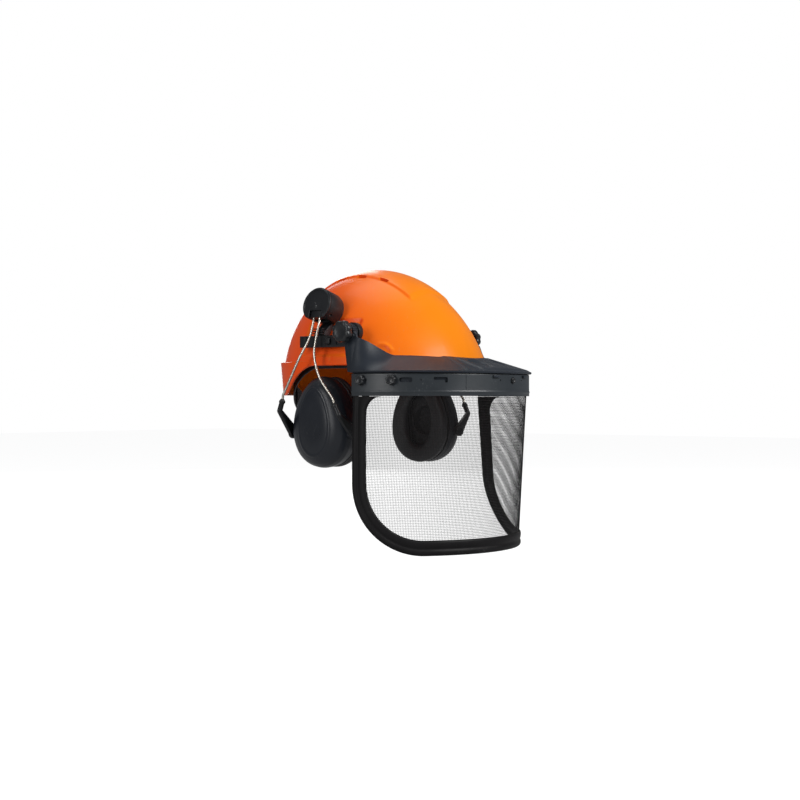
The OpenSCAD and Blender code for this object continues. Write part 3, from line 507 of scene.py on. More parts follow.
# ---------------------------------------------------------------- headband
# The headband: a flexible strap of matt black plastic with a beaded edge, a row of cooling
# windows over the brow and pegs for the pad. Its ends lie inside the nape strap.
BAND_A, BAND_B = 97.5, 79.5
BAND_LOW, BAND_HEIGHT, BAND_WALL = 33.0, 26.0, 1.6


def band_plan(spread, rear=26.0, steps=110):
    turn = np.radians(np.linspace(-90, 90, steps))
    front = np.stack([(BAND_B + spread) * np.sin(turn), -(BAND_A + spread) * np.cos(turn)], 1)
    tail = np.linspace(rear, 0, 8, endpoint=False)
    right = np.stack([np.full(8, -(BAND_B + spread)), tail], 1)
    return np.concatenate([right, front, right[::-1] * [-1, 1]])


def strap_loft(plan_at, section):
    """Rings of a strap: each section point is (spread from the plan line, height)."""
    plans = [plan_at(spread) for spread, _ in section]
    return [[(*plans[k][i], section[k][1]) for k in range(len(section))] for i in range(len(plans[0]))]


def beaded_section(wall, low, height, bead=0.5):
    return fillet([
        (0, low), (wall + bead, low), (wall + bead, low + 2.2), (wall, low + 2.8),
        (wall, low + height - 2.8), (wall + bead, low + height - 2.2), (wall + bead, low + height),
        (0, low + height),
    ], 0.5, 2)


band_section = beaded_section(BAND_WALL, BAND_LOW, BAND_HEIGHT, 0.2)
headband = build("headband_strap", *loft(strap_loft(band_plan, band_section)))
windows = []
for bearing in (-52, -40, -28, -16, 16, 28, 40, 52):
    turn = math.radians(bearing)
    windows.append(prism("window", box_outline(7, 15, 2.4), -6, 6, placed(
        (BAND_B * math.sin(turn), -BAND_A * math.cos(turn), BAND_LOW + BAND_HEIGHT / 2), (90, 0, bearing))))
cut(headband, windows)
harness_black = moulded_plastic("harness_black", (0.017, 0.017, 0.019), 0.46, specular=0.35, grain=0.16,
                                grain_scale=1400, scuffs=0.2, dust=0.08)
fit(headband, "helmet", "black_plastic", harness_black, "headband")

# ---------------------------------------------------------------- brow pad
# The brow pad: soft foam 4 mm thick in a perforated fabric sleeve, sewn round its edge and
# held on the headband's pegs over the forehead.


def lay_cloth(piece, run):
    """Stores where each point lies in the cloth, in metres, for the weave to follow."""
    lay = piece.data.attributes.new("run", "FLOAT_VECTOR", "POINT")
    lay.data.foreach_set("vector", np.array(run).ravel())


def padded_strip(name, line, height, thick, lows, puffs, channel=0.6, across_steps=26):
    """A soft strip along a plan line of (point, inward direction), crowned between its seams."""
    rings, run, length = [], [], 0.0
    profile = np.linspace(0, 1, across_steps)
    for k, (place, inward) in enumerate(line):
        if k:
            length += np.linalg.norm(np.subtract(place, line[k - 1][0]))
        low = lows[k] if len(lows) > 1 else lows[0]
        share = k / (len(line) - 1)
        ends = min(1.0, 9 * min(share, 1 - share) + 0.15)
        seam = 1 - channel * np.exp(-((share * puffs) % 1 - 0.5) ** 2 / 0.0022)
        ring = []
        for face in (0, 1):
            for v in (profile if face else profile[::-1]):
                crown = (1 - abs(2 * v - 1) ** 4) ** 0.6
                tuck = 1 - 0.55 * math.exp(-((abs(2 * v - 1) - 0.86) / 0.05) ** 2)
                depth = thick * (0.18 + 0.82 * crown * tuck * ends * seam) if face else 0.0
                ring.append((place[0] + inward[0] * depth, place[1] + inward[1] * depth,
                             low + height * (0.5 + (v - 0.5) * (0.8 + 0.2 * ends))))
                run.append((length * MM, v * height * MM, 0.0))
        rings.append(ring)
    pad = build(name, *loft(rings), crease=60)
    lay_cloth(pad, run)
    return pad


def textile_group():
    """Plain weave in the piece's own run of cloth, in metres: thread height, gaps and tone."""
    group, given, result = node_group(
        "plain_weave", {"Threads": 1100.0, "Fuzz": 0.35}, ["Height", "Gap", "Tone"],
    )
    run = add_node(group, "ShaderNodeAttribute", attribute_name="run")
    scaled = add_node(group, "ShaderNodeVectorMath",
                      {0: run.outputs["Vector"], "Scale": given.outputs["Threads"]}, operation="SCALE")
    parts = add_node(group, "ShaderNodeSeparateXYZ", {0: scaled.outputs[0]})
    waves = [maths(group, "SINE", maths(group, "MULTIPLY", parts.outputs[axis], math.pi))
             for axis in ("X", "Y")]
    height = maths(group, "ABSOLUTE", maths(group, "MULTIPLY", *waves))
    fuzz = noise(group, scaled.outputs[0], 1.7, 2.0)
    place = add_node(group, "ShaderNodeTexCoord")
    for label, value in (
        ("Height", maths(group, "MULTIPLY_ADD", fuzz, given.outputs["Fuzz"], height)),
        ("Gap", ranged(group, height, 0.18, 0.02)),
        ("Tone", noise(group, place.outputs["Object"], 60.0, 4.0)),
    ):
        group.links.new(value, result.inputs[label])
    return group


PLAIN_WEAVE = textile_group()


def cloth(name, colour, threads, roughness=0.85, sheen=0.4, depth=0.5, contrast=0.5):
    """Woven cloth: threads with dark gaps, uneven tone and a soft sheen."""
    material, tree, shader = new_finish(name, Roughness=roughness, Sheen_Weight=sheen, Sheen_Roughness=0.4)
    weave = add_node(tree, "ShaderNodeGroup", node_tree=PLAIN_WEAVE)
    weave.inputs["Threads"].default_value = threads
    uneven = mixed(tree, weave.outputs["Tone"], tint(colour, 0.7), tint(colour, 1.35))
    gaps = maths(tree, "MULTIPLY", weave.outputs["Gap"], contrast)
    tree.links.new(mixed(tree, gaps, uneven, tint(colour, 0.2)), shader.inputs["Base Color"])
    relief_on(tree, shader, weave.outputs["Height"], depth, 0.0003)
    return material


def oval_line(a, b, low_turn, high_turn, steps, middle_y=0.0):
    """Plan points of an oval and the directions that point inside it."""
    line = []
    for turn in np.radians(np.linspace(low_turn, high_turn, steps)):
        across, ahead = math.sin(turn), -math.cos(turn)
        inward = -np.array([across * a, ahead * b]) / math.hypot(across * a, ahead * b)
        line.append(((b * across, middle_y + a * ahead), inward))
    return line


PAD_THICK, PAD_CLEAR = 4.0, 0.3
brow_line = oval_line(BAND_A - PAD_CLEAR, BAND_B - PAD_CLEAR, -66, 66, 150)
brow_pad = padded_strip("brow_pad_sleeve", brow_line, BAND_HEIGHT + 3, PAD_THICK, [BAND_LOW - 1.5], puffs=5)
pad_cloth = cloth("pad_cloth", (0.036, 0.037, 0.042), 700)
fit(brow_pad, "helmet", "pad_fabric", pad_cloth, "brow_pad")

# ------------------------------------------------------------------ webbing
# The crown webbing: three woven polyester straps that cross over the head, two on the
# diagonals and one from side to side, each with a thicker selvedge and stitched at its ends.
WEB_SPREAD, WEB_FOOT_Z, WEB_RISE, WEB_GAP = 2.1, 59.4, 52.0, 2.6
WEB_WIDTH, WEB_WALL = 18.0, 1.2
WEB_SQUARENESS = 2.1


def web_strap(name, foot, middle_y, layer):
    span = np.array([foot[0], foot[1] - middle_y])
    reach = np.linalg.norm(span)
    along = np.array([*(span / reach), 0.0])
    across = np.array([-along[1], along[0], 0.0])
    rise = WEB_RISE + layer * (WEB_WALL + WEB_GAP)
    half, raised, sunk = WEB_WIDTH / 2, WEB_WALL + 0.1, WEB_WALL - 0.15
    section = fillet([
        (-half, -0.1), (half, -0.1), (half, raised), (half - 1.6, raised), (half - 2.2, sunk),
        (-half + 2.2, sunk), (-half + 1.6, raised), (-half, raised),
    ], 0.35, 2)
    rings, run, length, last = [], [], 0.0, None
    for q in np.radians(np.linspace(0, 180, 120)):
        pull = math.copysign(abs(math.cos(q)) ** WEB_SQUARENESS, math.cos(q))
        lift = rise * math.sin(q)
        middle = along * reach * pull + np.array([0, middle_y + CROWN_LEAN * lift, WEB_FOOT_Z + lift])
        out = along * math.cos(q) / reach + np.array([0, 0, math.sin(q) / rise])
        out /= np.linalg.norm(out)
        length += 0 if last is None else np.linalg.norm(middle - last)
        last = middle
        rings.append([middle + across * u + out * v for u, v in section])
        run += [(length * MM, (u + (3 if v > 0.5 else 0)) * MM, 0) for u, v in section]
    strap = build(name, *loft(rings), crease=50)
    lay_cloth(strap, run)
    return strap


def web_foot(bearing):
    turn = math.radians(bearing)
    return ((BAND_B + WEB_SPREAD) * math.sin(turn), -(BAND_A + WEB_SPREAD) * math.cos(turn))


WEB_SIDE_AHEAD = 20.0
side_share = math.sqrt(1 - (WEB_SIDE_AHEAD / (BAND_A + WEB_SPREAD)) ** 2)
side_foot = ((BAND_B + WEB_SPREAD) * side_share, -WEB_SIDE_AHEAD)
webbing = cloth("webbing", (0.052, 0.055, 0.062), 620, roughness=0.75, sheen=0.25, depth=0.8, contrast=0.6)
for node, foot, middle_y, layer in (
    ("web_front_left", web_foot(32), 0, 0), ("web_front_right", web_foot(148), 0, 1),
    ("web_side", side_foot, -WEB_SIDE_AHEAD, 2),
):
    fit(web_strap(node + "_strap", foot, middle_y, layer), "helmet", "webbing", webbing, node)

# ---------------------------------------------------------------- crown pad
# The crown pad: a round foam disc in the same sleeve cloth, quilted in its middle and hung
# under the crossing of the straps.
CROWN_PAD_RADIUS, CROWN_PAD_Z, CROWN_PAD_THICK = 24, 98.2, 3.5


def quilted_disc(name, radius, low, thick):
    rings, run = [], []
    turn = np.linspace(0, 2 * math.pi, 96, endpoint=False)
    stations = [(s, 1) for s in np.linspace(0.02, 1, 26)] + [(s, 0) for s in np.linspace(1, 0.02, 26)]
    for share, top in stations:
        crown = (1 - share ** 6) ** 0.5
        quilting, welt = (math.exp(-((share - at) / 0.03) ** 2) for at in (0.62, 0.93))
        seam = 1 - 0.4 * quilting - 0.35 * welt
        z = low + thick * (0.5 + (0.5 if top else -0.5) * crown * seam)
        reach = radius * share
        ring = np.stack([reach * np.cos(turn), reach * np.sin(turn), np.full(len(turn), z)], 1)
        rings.append(ring)
        run += (ring * [MM, MM, 0]).tolist()
    disc = build(name, *loft(rings), crease=60)
    lay_cloth(disc, run)
    return disc


crown_pad = quilted_disc("crown_pad_disc", CROWN_PAD_RADIUS, CROWN_PAD_Z, CROWN_PAD_THICK)
fit(crown_pad, "helmet", "pad_fabric", pad_cloth, "crown_pad")

# ----------------------------------------------------------------- web keys
# The keys: six small mouldings, one on each strap end, pushed into pockets inside the rim.


def moulded_from(node, edge, crease=30, segments=2):
    """The node's own shape as a piece with its sharp edges rounded, as a mould leaves them."""
    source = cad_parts[node]
    form = bmesh.new()
    form.from_mesh(source.data)
    form.transform(source.matrix_world)
    bmesh.ops.remove_doubles(form, verts=form.verts, dist=2e-6)
    bmesh.ops.dissolve_limit(form, angle_limit=math.radians(0.6), verts=form.verts, edges=form.edges)
    sharp = [edge_line for edge_line in form.edges
             if len(edge_line.link_faces) == 2 and edge_line.calc_face_angle(0) > math.radians(crease)]
    bmesh.ops.bevel(form, geom=sharp, offset=edge * MM, segments=segments, profile=0.55, affect="EDGES",
                    clamp_overlap=True)
    mesh = bpy.data.meshes.new(node + "_moulding")
    form.to_mesh(mesh)
    form.free()
    piece = bpy.data.objects.new(node + "_moulding", mesh)
    scene.collection.objects.link(piece)
    shade(piece, 40)
    return piece


fit(moulded_from("web_keys", 0.5), "helmet", "black_plastic", harness_black, "web_keys")

# --------------------------------------------------------------- nape strap
# The nape strap: the rear half of the headband, which dips to the neck. Its two toothed ends
# wind together in the ratchet behind the nape, and slots let it bend.
NAPE_INSIDE, NAPE_STRAIGHT, NAPE_DEPTH = 81.6, 40.0, 55.0
NAPE_DROP, NAPE_HEIGHT = 57.0, 22.0
NAPE_BEND = 0.3
NAPE_STEPS = 90


def nape_low(t):
    return BAND_LOW + 2 - NAPE_DROP * float(ease((t - 0.12) / 0.88))


def nape_plan(t, spread):
    if t < NAPE_BEND:
        return (NAPE_INSIDE + spread, lerp(6, NAPE_STRAIGHT, t / NAPE_BEND))
    turn = math.radians(90 * (t - NAPE_BEND) / 0.7)
    return ((NAPE_INSIDE + spread) * math.cos(turn), NAPE_STRAIGHT + (NAPE_DEPTH + spread) * math.sin(turn))


nape_section = beaded_section(BAND_WALL, 0, NAPE_HEIGHT, 0.0)
rings = []
for t in np.concatenate([np.linspace(0, 1, NAPE_STEPS), np.linspace(1, 0, NAPE_STEPS)[1:]]):
    side = 1 if len(rings) < NAPE_STEPS else -1
    ring = []
    for spread, height in nape_section:
        across, behind = nape_plan(t, spread)
        ring.append((side * across, behind, nape_low(t) + height))
    rings.append(ring)
nape_strap = build("nape_strap_moulding", *loft(rings))
slots = []
for side in (-1, 1):
    for t in (0.44, 0.51, 0.58, 0.65, 0.72):
        across, behind = nape_plan(t, 1)
        turn = math.degrees(math.atan2(behind - NAPE_STRAIGHT, across * 0.68))
        slots.append(prism("slot", box_outline(4.5, 11, 2.1), -5, 5, placed(
            (side * across, behind, nape_low(t) + NAPE_HEIGHT / 2), (90, 0, 90 + side * turn))))
cut(nape_strap, slots)
fit(nape_strap, "nape", "black_plastic", harness_black, "nape_strap")

# ----------------------------------------------------------------- nape pad
# The nape pad: the brow pad's cloth and foam, clipped inside the nape strap.
pad_line, pad_low = [], []
for turn_deg in np.linspace(-40, 40, 90):
    turn = math.radians(turn_deg)
    across, behind = math.sin(turn), math.cos(turn)
    inward = -np.array([across * NAPE_DEPTH, behind * NAPE_INSIDE])
    pad_line.append((((NAPE_INSIDE - PAD_CLEAR) * across, NAPE_STRAIGHT + (NAPE_DEPTH - PAD_CLEAR) * behind),
                     inward / np.linalg.norm(inward)))
    pad_low.append(nape_low(NAPE_BEND + 0.7 * (90 - abs(turn_deg)) / 90) - 1)
nape_pad = padded_strip("nape_pad_sleeve", pad_line, NAPE_HEIGHT + 2, PAD_THICK, pad_low, puffs=3)
fit(nape_pad, "nape", "pad_fabric", pad_cloth, "nape_pad")

# ------------------------------------------------------------------ ratchet
# The ratchet: a two-part case with a toothed pinion on the shaft of a lobed knob, all in
# black nylon, riveted to the middle of the nape strap.
fit(moulded_from("ratchet_case", 1.4, segments=3), "nape", "black_plastic", harness_black, "ratchet_case")
fit(moulded_from("ratchet_knob", 0.6), "ratchet", "black_plastic", harness_black, "ratchet_knob")


def refinish(node, material):
    """A node whose own shape is right takes a better finish."""
    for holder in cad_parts[node].material_slots:
        holder.material = material


refinish("ratchet_pinion", harness_black)

# ------------------------------------------------------------ slot adapters
# The adapters: a black nylon bar on each side whose tongue plugs into the shell's slot. The
# screen's hinge bolt goes through its front boss, and the ear muff's bracket stands on it.
adapter_black = moulded_plastic("adapter_black", (0.009, 0.0095, 0.011), 0.38, specular=0.32, grain=0.22,
                                grain_scale=1100, scuffs=0.5, dust=0.12)
BAR_OUTSIDE = 102.6


def both_sides(work):
    """Runs the work for the wearer's right, at -X, and for the left."""
    for hand, sign in (("right", -1), ("left", 1)):
        work(hand, sign)


def make_adapter(hand, sign):
    bar = moulded_from(hand + "_slot_adapter", 0.7)
    cut(bar, [prism("recess", box_outline(8, 7.4, 1.2), -0.9, 3,
                    placed((sign * BAR_OUTSIDE, behind, 60.5), (0, sign * 90, 0)))
              for behind in (-29, -18, -7)])
    fit(bar, "helmet", "black_plastic", adapter_black, hand + "_slot_adapter")
    lug = prism(hand + "_adapter_lug", box_outline(6, 9, 1.4), -0.4, 2.2,
                placed((sign * (BAR_OUTSIDE - 0.2), -2.5, 60.8), (0, sign * 90, 0)), edge=0.5)
    fit(lug, "helmet", "black_plastic", adapter_black)


both_sides(make_adapter)


def drawn_steel(name, colour, roughness, streak=(40, 40, 900)):
    """Drawn or turned steel: bright metal with fine streaks and a slightly tarnished tone."""
    material, tree, shader = new_finish(name, Metallic=1.0)
    spot = add_node(tree, "ShaderNodeTexCoord").outputs["Object"]
    stretched = add_node(tree, "ShaderNodeMapping", {"Vector": spot, "Scale": streak})
    lines = noise(tree, stretched.outputs[0], 6.0, 4.0)
    tone = mixed(tree, noise(tree, spot, 70.0, 4.0), tint(colour, 0.72), tint(colour, 1.2))
    tree.links.new(tone, shader.inputs["Base Color"])
    dull = ranged(tree, lines, 0.3, 0.7, roughness * 0.75, roughness * 1.3)
    tree.links.new(dull, shader.inputs["Roughness"])
    relief_on(tree, shader, lines, 0.15, 0.0002)
    return material


plated_steel = drawn_steel("plated_steel", (0.6, 0.6, 0.58), 0.32)
for node in ("hinge_washers", "hinge_bolts", "rail_studs"):
    refinish(node, plated_steel)

# -------------------------------------------------------------- brow guard
# The brow guard: a satin grey-black moulding that hugs the dome, slopes out over the screen's
# rail and runs back on both sides to a ribbed hub on the hinge bolt.
SCREEN_RADIUS, SCREEN_AHEAD = 117.0, 46.0
RAIL_TOP, RAIL_BOTTOM, RAIL_WALL = 26.5, 4.0, 2.5
RAIL_INSIDE = SCREEN_RADIUS - RAIL_WALL
GUARD_WALL = 2.4
LIP_RADIUS = SCREEN_RADIUS + 2.4
EAR_INSIDE, EAR_HUB_LENGTH = 103.5, 6.6
BROW_FRONT_Z, BROW_SIDE_Z = 42.6, 45.5
WING_BEARING, WING_Z = 72, 63.0
HINGE_AHEAD, HINGE_Z = 35.0, 69.0


def dome_reach(turn, z, gap):
    """From the screen's centre line out to the dome, along one bearing."""
    a, b = SHELL_A * dome_scale(z) + gap, SHELL_B * dome_scale(z) + gap
    back = -SCREEN_AHEAD - lean(z)
    p = (math.sin(turn) / b) ** 2 + (math.cos(turn) / a) ** 2
    q = -2 * back * math.cos(turn) / (a * a)
    r = back * back / (a * a) - 1
    return (-q + math.sqrt(q * q - 4 * p * r)) / (2 * p)


def guard_ribs(bearing, share):
    """Relief on the guard's slope: a raised middle panel with an oval recess on each side."""
    side = abs(bearing)
    panel = band(side, 0, 24 - 5 * share, 2.0) * band(share, 0.16, 0.86, 0.08)
    oval = math.hypot((side - 13) / 6.5, (share - 0.5) / 0.22)
    rib = band(side, 29, 30.2, 1.0) * band(share, 0.1, 0.9, 0.1)
    return 1.5 * panel - 1.7 * float(ease((1.15 - oval) / 0.22)) + 1.0 * rib


def guard_section(bearing):
    turn = math.radians(bearing)
    wing = float(ease((abs(bearing) - WING_BEARING) / 18))
    brow_z = lerp(BROW_FRONT_Z, BROW_SIDE_Z, float(ease(abs(bearing) / WING_BEARING)))
    brow_z += 1.2 * float(ease((38 - abs(bearing)) / 5))
    edge_z = lerp(brow_z, WING_Z, wing)
    edge_r = lerp(dome_reach(turn, brow_z, 1.6), EAR_INSIDE + 5.5, wing)
    lip_z = lerp(RAIL_TOP + 2.2, RAIL_TOP + 2.8, float(ease(abs(bearing) / 60)))
    slope = np.array([LIP_RADIUS - edge_r, lip_z - edge_z])
    slope = slope / np.linalg.norm(slope)
    up = np.array([-slope[1], slope[0]])
    root = RAIL_INSIDE - 0.1
    top, low = np.array([edge_r, edge_z]), np.array([LIP_RADIUS, lip_z])
    outline = [top - up * 0.5, top]
    for share in np.linspace(0.04, 0.96, 24):
        outline.append(lerp(top, low, share) + up * guard_ribs(bearing, share))
    outline += [low, low - [0, 0.7], low - [0.5, 1.9], (LIP_RADIUS - 3.2, lip_z - 1.9),
                (root, RAIL_TOP + 0.2), (root, RAIL_BOTTOM + 9.6), (root - GUARD_WALL, RAIL_BOTTOM + 9.6),
                (root - GUARD_WALL, RAIL_TOP - 1), top - up * GUARD_WALL]
    return [(r * math.sin(turn), -SCREEN_AHEAD - r * math.cos(turn), h) for r, h in outline]


def hull_of(name, points):
    """The tight skin round a set of points, in millimetres."""
    form = bmesh.new()
    for p in points:
        form.verts.new(p)
    bmesh.ops.convex_hull(form, input=form.verts)
    loose = [v for v in form.verts if not v.link_faces]
    bmesh.ops.delete(form, geom=loose, context="VERTS")
    points = [v.co[:] for v in form.verts]
    form.verts.index_update()
    faces = [[v.index for v in f.verts] for f in form.faces]
    form.free()
    return build(name, points, faces)


def disc_points(centre, axis, radius, length, steps=40):
    """Points round both rims of a short round bar."""
    axis = np.array(axis, float) / np.linalg.norm(axis)
    side = np.cross(axis, [0.3, 0.2, 1.0])
    side /= np.linalg.norm(side)
    up = np.cross(axis, side)
    rims = []
    for end in (-0.5, 0.5):
        for t in np.linspace(0, 2 * math.pi, steps, endpoint=False):
            spoke = radius * (math.cos(t) * side + math.sin(t) * up)
            rims.append(np.array(centre) + axis * end * length + spoke)
    return rims


def box_points(centre, size):
    corners = [(i, j, k) for i in (-1, 1) for j in (-1, 1) for k in (-1, 1)]
    return [np.array(centre) + np.array(size) * corner / 2 for corner in corners]


def cast_together(name, parts, grain, smooth=6):
    """Several forms made into one moulding whose inner corners are softly filled."""
    whole = join(name, parts)
    cells = whole.modifiers.new("cells", "REMESH")
    cells.mode, cells.voxel_size = "VOXEL", grain * MM
    soft = whole.modifiers.new("soft", "SMOOTH")
    soft.iterations, soft.factor = smooth, 0.5
    bake_modifiers(whole, 50)
    return whole


guard_satin = moulded_plastic("guard_satin", (0.016, 0.020, 0.027), 0.43, grain=0.08, grain_scale=700,
                              scuffs=0.5, dust=0.02, specular=0.2)
guard_sections = [guard_section(bearing) for bearing in np.linspace(-90, 90, 241)]
guard_body = build("brow_guard_moulding", *loft(guard_sections), crease=32)
fit(guard_body, "screen", "guard_grey", guard_satin, "brow_guard")


def toothed_outline(count, root, tip, width_share=0.5):
    """A round outline with raised ribs, like a knurled rim."""
    outline = []
    for i in range(count):
        for share, radius in ((0, root), (0.5 - width_share / 2, root), (0.5 - width_share / 3, tip),
                              (0.5 + width_share / 3, tip), (0.5 + width_share / 2, root)):
            t = 2 * math.pi * (i + share) / count
            outline.append((radius * math.cos(t), radius * math.sin(t)))
    return outline


def round_outline(radius, turns):
    return [(radius * math.cos(t), radius * math.sin(t)) for t in turns]


def make_guard_ear(hand, sign):
    foot_x, foot_z, foot_size = sign * (LIP_RADIUS - 2.6), RAIL_TOP + 3.6, (2.4, 0.8, 4)
    round_head = disc_points((sign * (EAR_INSIDE + 1.6), -HINGE_AHEAD, HINGE_Z), (1, 0, 0), 8, 3)
    plate = hull_of("ear_plate", round_head
                    + box_points((sign * (EAR_INSIDE + 4.3), -SCREEN_AHEAD - 0.1, 60), (2.4, 0.8, 5.6))
                    + box_points((foot_x, -SCREEN_AHEAD - 0.1, foot_z), foot_size)
                    + box_points((foot_x, -SCREEN_AHEAD + 4, foot_z), foot_size))
    on_bolt = placed((sign * EAR_INSIDE, -HINGE_AHEAD, HINGE_Z), (0, sign * 90, 0))
    ribbed = fillet(toothed_outline(20, 8.1, 9.1), 0.3, 1)
    hub = prism("ear_hub", ribbed, 0, EAR_HUB_LENGTH, on_bolt, edge=0.5)
    ear = cast_together("ear", [plate, hub], 0.45, smooth=2)
    bore = round_outline(3.1, np.linspace(0, 2 * math.pi, 32, False))
    cut(ear, [prism("bore", bore, -5, 15, on_bolt)], 40)
    ear.name = hand + "_guard_ear"
    fit(ear, "screen", "guard_grey", guard_satin)


both_sides(make_guard_ear)

# ------------------------------------------------------------- screen rail
# The rail: a flexible plastic strip bent round the brow that carries the screen. It has a
# ridge along its foot, elongated and hooked mounting slots, dimples and two weld seams.
RAIL_MIDDLE = RAIL_BOTTOM + 16


def on_rail(bearing, height, out=0.0, roll=0.0):
    """Matrix for a form on the rail: its z points out, its x up."""
    turn = math.radians(bearing)
    reach = SCREEN_RADIUS + out
    place = (reach * math.sin(turn), -SCREEN_AHEAD - reach * math.cos(turn), height)
    frame_of = Matrix.Rotation(turn - math.pi / 2, 4, "Z") @ Matrix.Rotation(math.pi / 2, 4, "Y")
    return Matrix.Translation(place) @ frame_of @ Matrix.Rotation(math.radians(roll), 4, "Z")


RAIL_SKIN = SCREEN_RADIUS - 0.15
rail_section = fillet([
    (RAIL_INSIDE, RAIL_BOTTOM), (SCREEN_RADIUS - 0.1, RAIL_BOTTOM), (SCREEN_RADIUS - 0.1, RAIL_BOTTOM + 2.8),
    (SCREEN_RADIUS + 0.3, RAIL_BOTTOM + 3.4), (SCREEN_RADIUS + 0.3, RAIL_BOTTOM + 4.6),
    (RAIL_SKIN, RAIL_BOTTOM + 5.4), (RAIL_SKIN, RAIL_TOP - 1.4), (SCREEN_RADIUS - 0.4, RAIL_TOP),
    (RAIL_INSIDE, RAIL_TOP),
], 0.35, 2)
rail = build("screen_rail_strip", *loft([
    [(r * math.sin(t), -SCREEN_AHEAD - r * math.cos(t), h) for r, h in rail_section]
    for t in np.radians(np.linspace(-90, 90, 241))
]))
NUT_BEARINGS = (68, 84)
dimple = round_outline(0.9, np.linspace(0, 6.1, 16))
stud_hole = round_outline(2.3, np.linspace(0, 6.1, 24))


def rail_cut(name, outline, bearing, rise=0.0, low=-8, high=6):
    return prism(name, outline, low, high, on_rail(bearing, RAIL_MIDDLE + rise))


rail_cuts, hook_ends = [], []
for side in (-1, 1):
    rail_cuts.append(rail_cut("long_slot", box_outline(4.8, 13, 2.2), side * 61))
    rail_cuts.append(rail_cut("hook", box_outline(3, 14, 1.3), side * 44, 1.2))
    hook_ends.append(rail_cut("hook_end", box_outline(5.4, 3, 1.3), side * 41.2))
    rail_cuts += [rail_cut("dimple", dimple, side * bearing, low=-0.9, high=3) for bearing in (53.5, 10)]
    rail_cuts.append(rail_cut("seam", box_outline(19, 0.5, 0.1, 1), side * 31, -1, low=-0.5, high=3))
    rail_cuts += [rail_cut("stud_hole", stud_hole, side * bearing) for bearing in NUT_BEARINGS]
rail_cuts.append(rail_cut("screw_hole", stud_hole, 0))
cut(rail, rail_cuts)
cut(rail, hook_ends)
rail_grey = moulded_plastic("rail_grey", (0.019, 0.0235, 0.028), 0.38, grain=0.1, grain_scale=800, scuffs=0.4,
                            dust=0.05, shade_range=0.18, specular=0.38)
fit(rail, "screen", "rail_grey", rail_grey, "screen_rail")

# ---------------------------------------------------------- nuts and clips
# Four star nuts in black nylon clamp the rail to the guard on steel studs, a small dished
# screw holds its middle, and two flat tabs locate its top edge.


def star_outline(lobes, root, tip, steps=120):
    t = np.linspace(0, 2 * math.pi, steps, endpoint=False)
    radius = root + (tip - root) * (0.5 + 0.5 * np.cos(lobes * t)) ** 0.6
    return np.stack([radius * np.cos(t), radius * np.sin(t)], 1)


def star_knob(name, lobes, radius, length, matrix, dish=0.5, flute=0.8):
    """A lobed hand knob: fluted skirt, rounded crown and a dished face."""
    rings = []
    for rise, share, depth in ((0, 0.78, 0.5), (0.06, 0.9, 0.8), (0.2, 1, 1), (0.7, 0.99, 1), (0.88, 0.93, 0.8),
                               (0.97, 0.82, 0.45), (1.0, 0.68, 0.15), (1.0 - 0.1 * dish, 0.55, 0),
                               (1.0 - 0.28 * dish, 0.4, 0), (1.0 - 0.34 * dish, 0.1, 0)):
        outline = star_outline(lobes, radius * lerp(0.96, flute, depth), radius)
        rings.append([(*(p * share), rise * length) for p in outline])
    points, faces = loft(rings)
    return build(name, [matrix @ Vector(p) for p in points], faces, crease=45)


knob_black = moulded_plastic("knob_black", (0.010, 0.011, 0.013), 0.34, grain=0.14, grain_scale=1300,
                             scuffs=0.5, dust=0.04, specular=0.4)
nuts = [star_knob("nut", 7, 5.5, 5.2, on_rail(side * bearing, RAIL_MIDDLE, 0.4))
        for side in (-1, 1) for bearing in NUT_BEARINGS]
fit(join("rail_star_nuts", nuts, 45), "screen", "black_plastic", knob_black, "rail_nuts")
dished = star_knob("rail_screw_head", 6, 3.3, 1.8, on_rail(0, RAIL_MIDDLE, 0.15), dish=1.4)
fit(dished, "screen", "black_plastic", knob_black)
tabs = [prism("tab", box_outline(2.6, 9, 0.7), 0.15, 1.75, on_rail(bearing, RAIL_TOP - 2.7), edge=0.4)
        for bearing in (-13, 13)]
fit(join("rail_tabs", tabs), "screen", "guard_grey", guard_satin, "rail_clips")

# ------------------------------------------------------------- screen mesh
# The mesh: coated steel wire 0.36 mm thick in a plain weave at a 1.6 mm pitch, pressed to a
# curve and held by the rail along its top and the rubber trim round its other edges.
SCREEN_DROP, CORNER = 155.0, 72.0
MESH_MIDDLE = RAIL_INSIDE - 0.8
FOOT_FLARE, FOOT_BACK, FOOT_HALF_ANGLE = 13, 25, 75.5
TRIM_GRIP = 6.0
MESH_PITCH, MESH_WIRE = 1.6, 0.18


def drop_share(z):
    return np.maximum(0, (RAIL_BOTTOM - z) / (RAIL_BOTTOM + SCREEN_DROP))


def half_arc(z):
    f = drop_share(z)
    return lerp(MESH_MIDDLE, MESH_MIDDLE + FOOT_FLARE, f) * np.radians(lerp(90.0, FOOT_HALF_ANGLE, f))


def screen_point(along, z, off):
    f = drop_share(z)
    radius = lerp(MESH_MIDDLE, MESH_MIDDLE + FOOT_FLARE, f)
    turn = along / radius
    middle = -lerp(SCREEN_AHEAD, SCREEN_AHEAD - FOOT_BACK, f)
    return np.stack([(radius + off) * np.sin(turn), middle - (radius + off) * np.cos(turn), z + 0 * turn], -1)


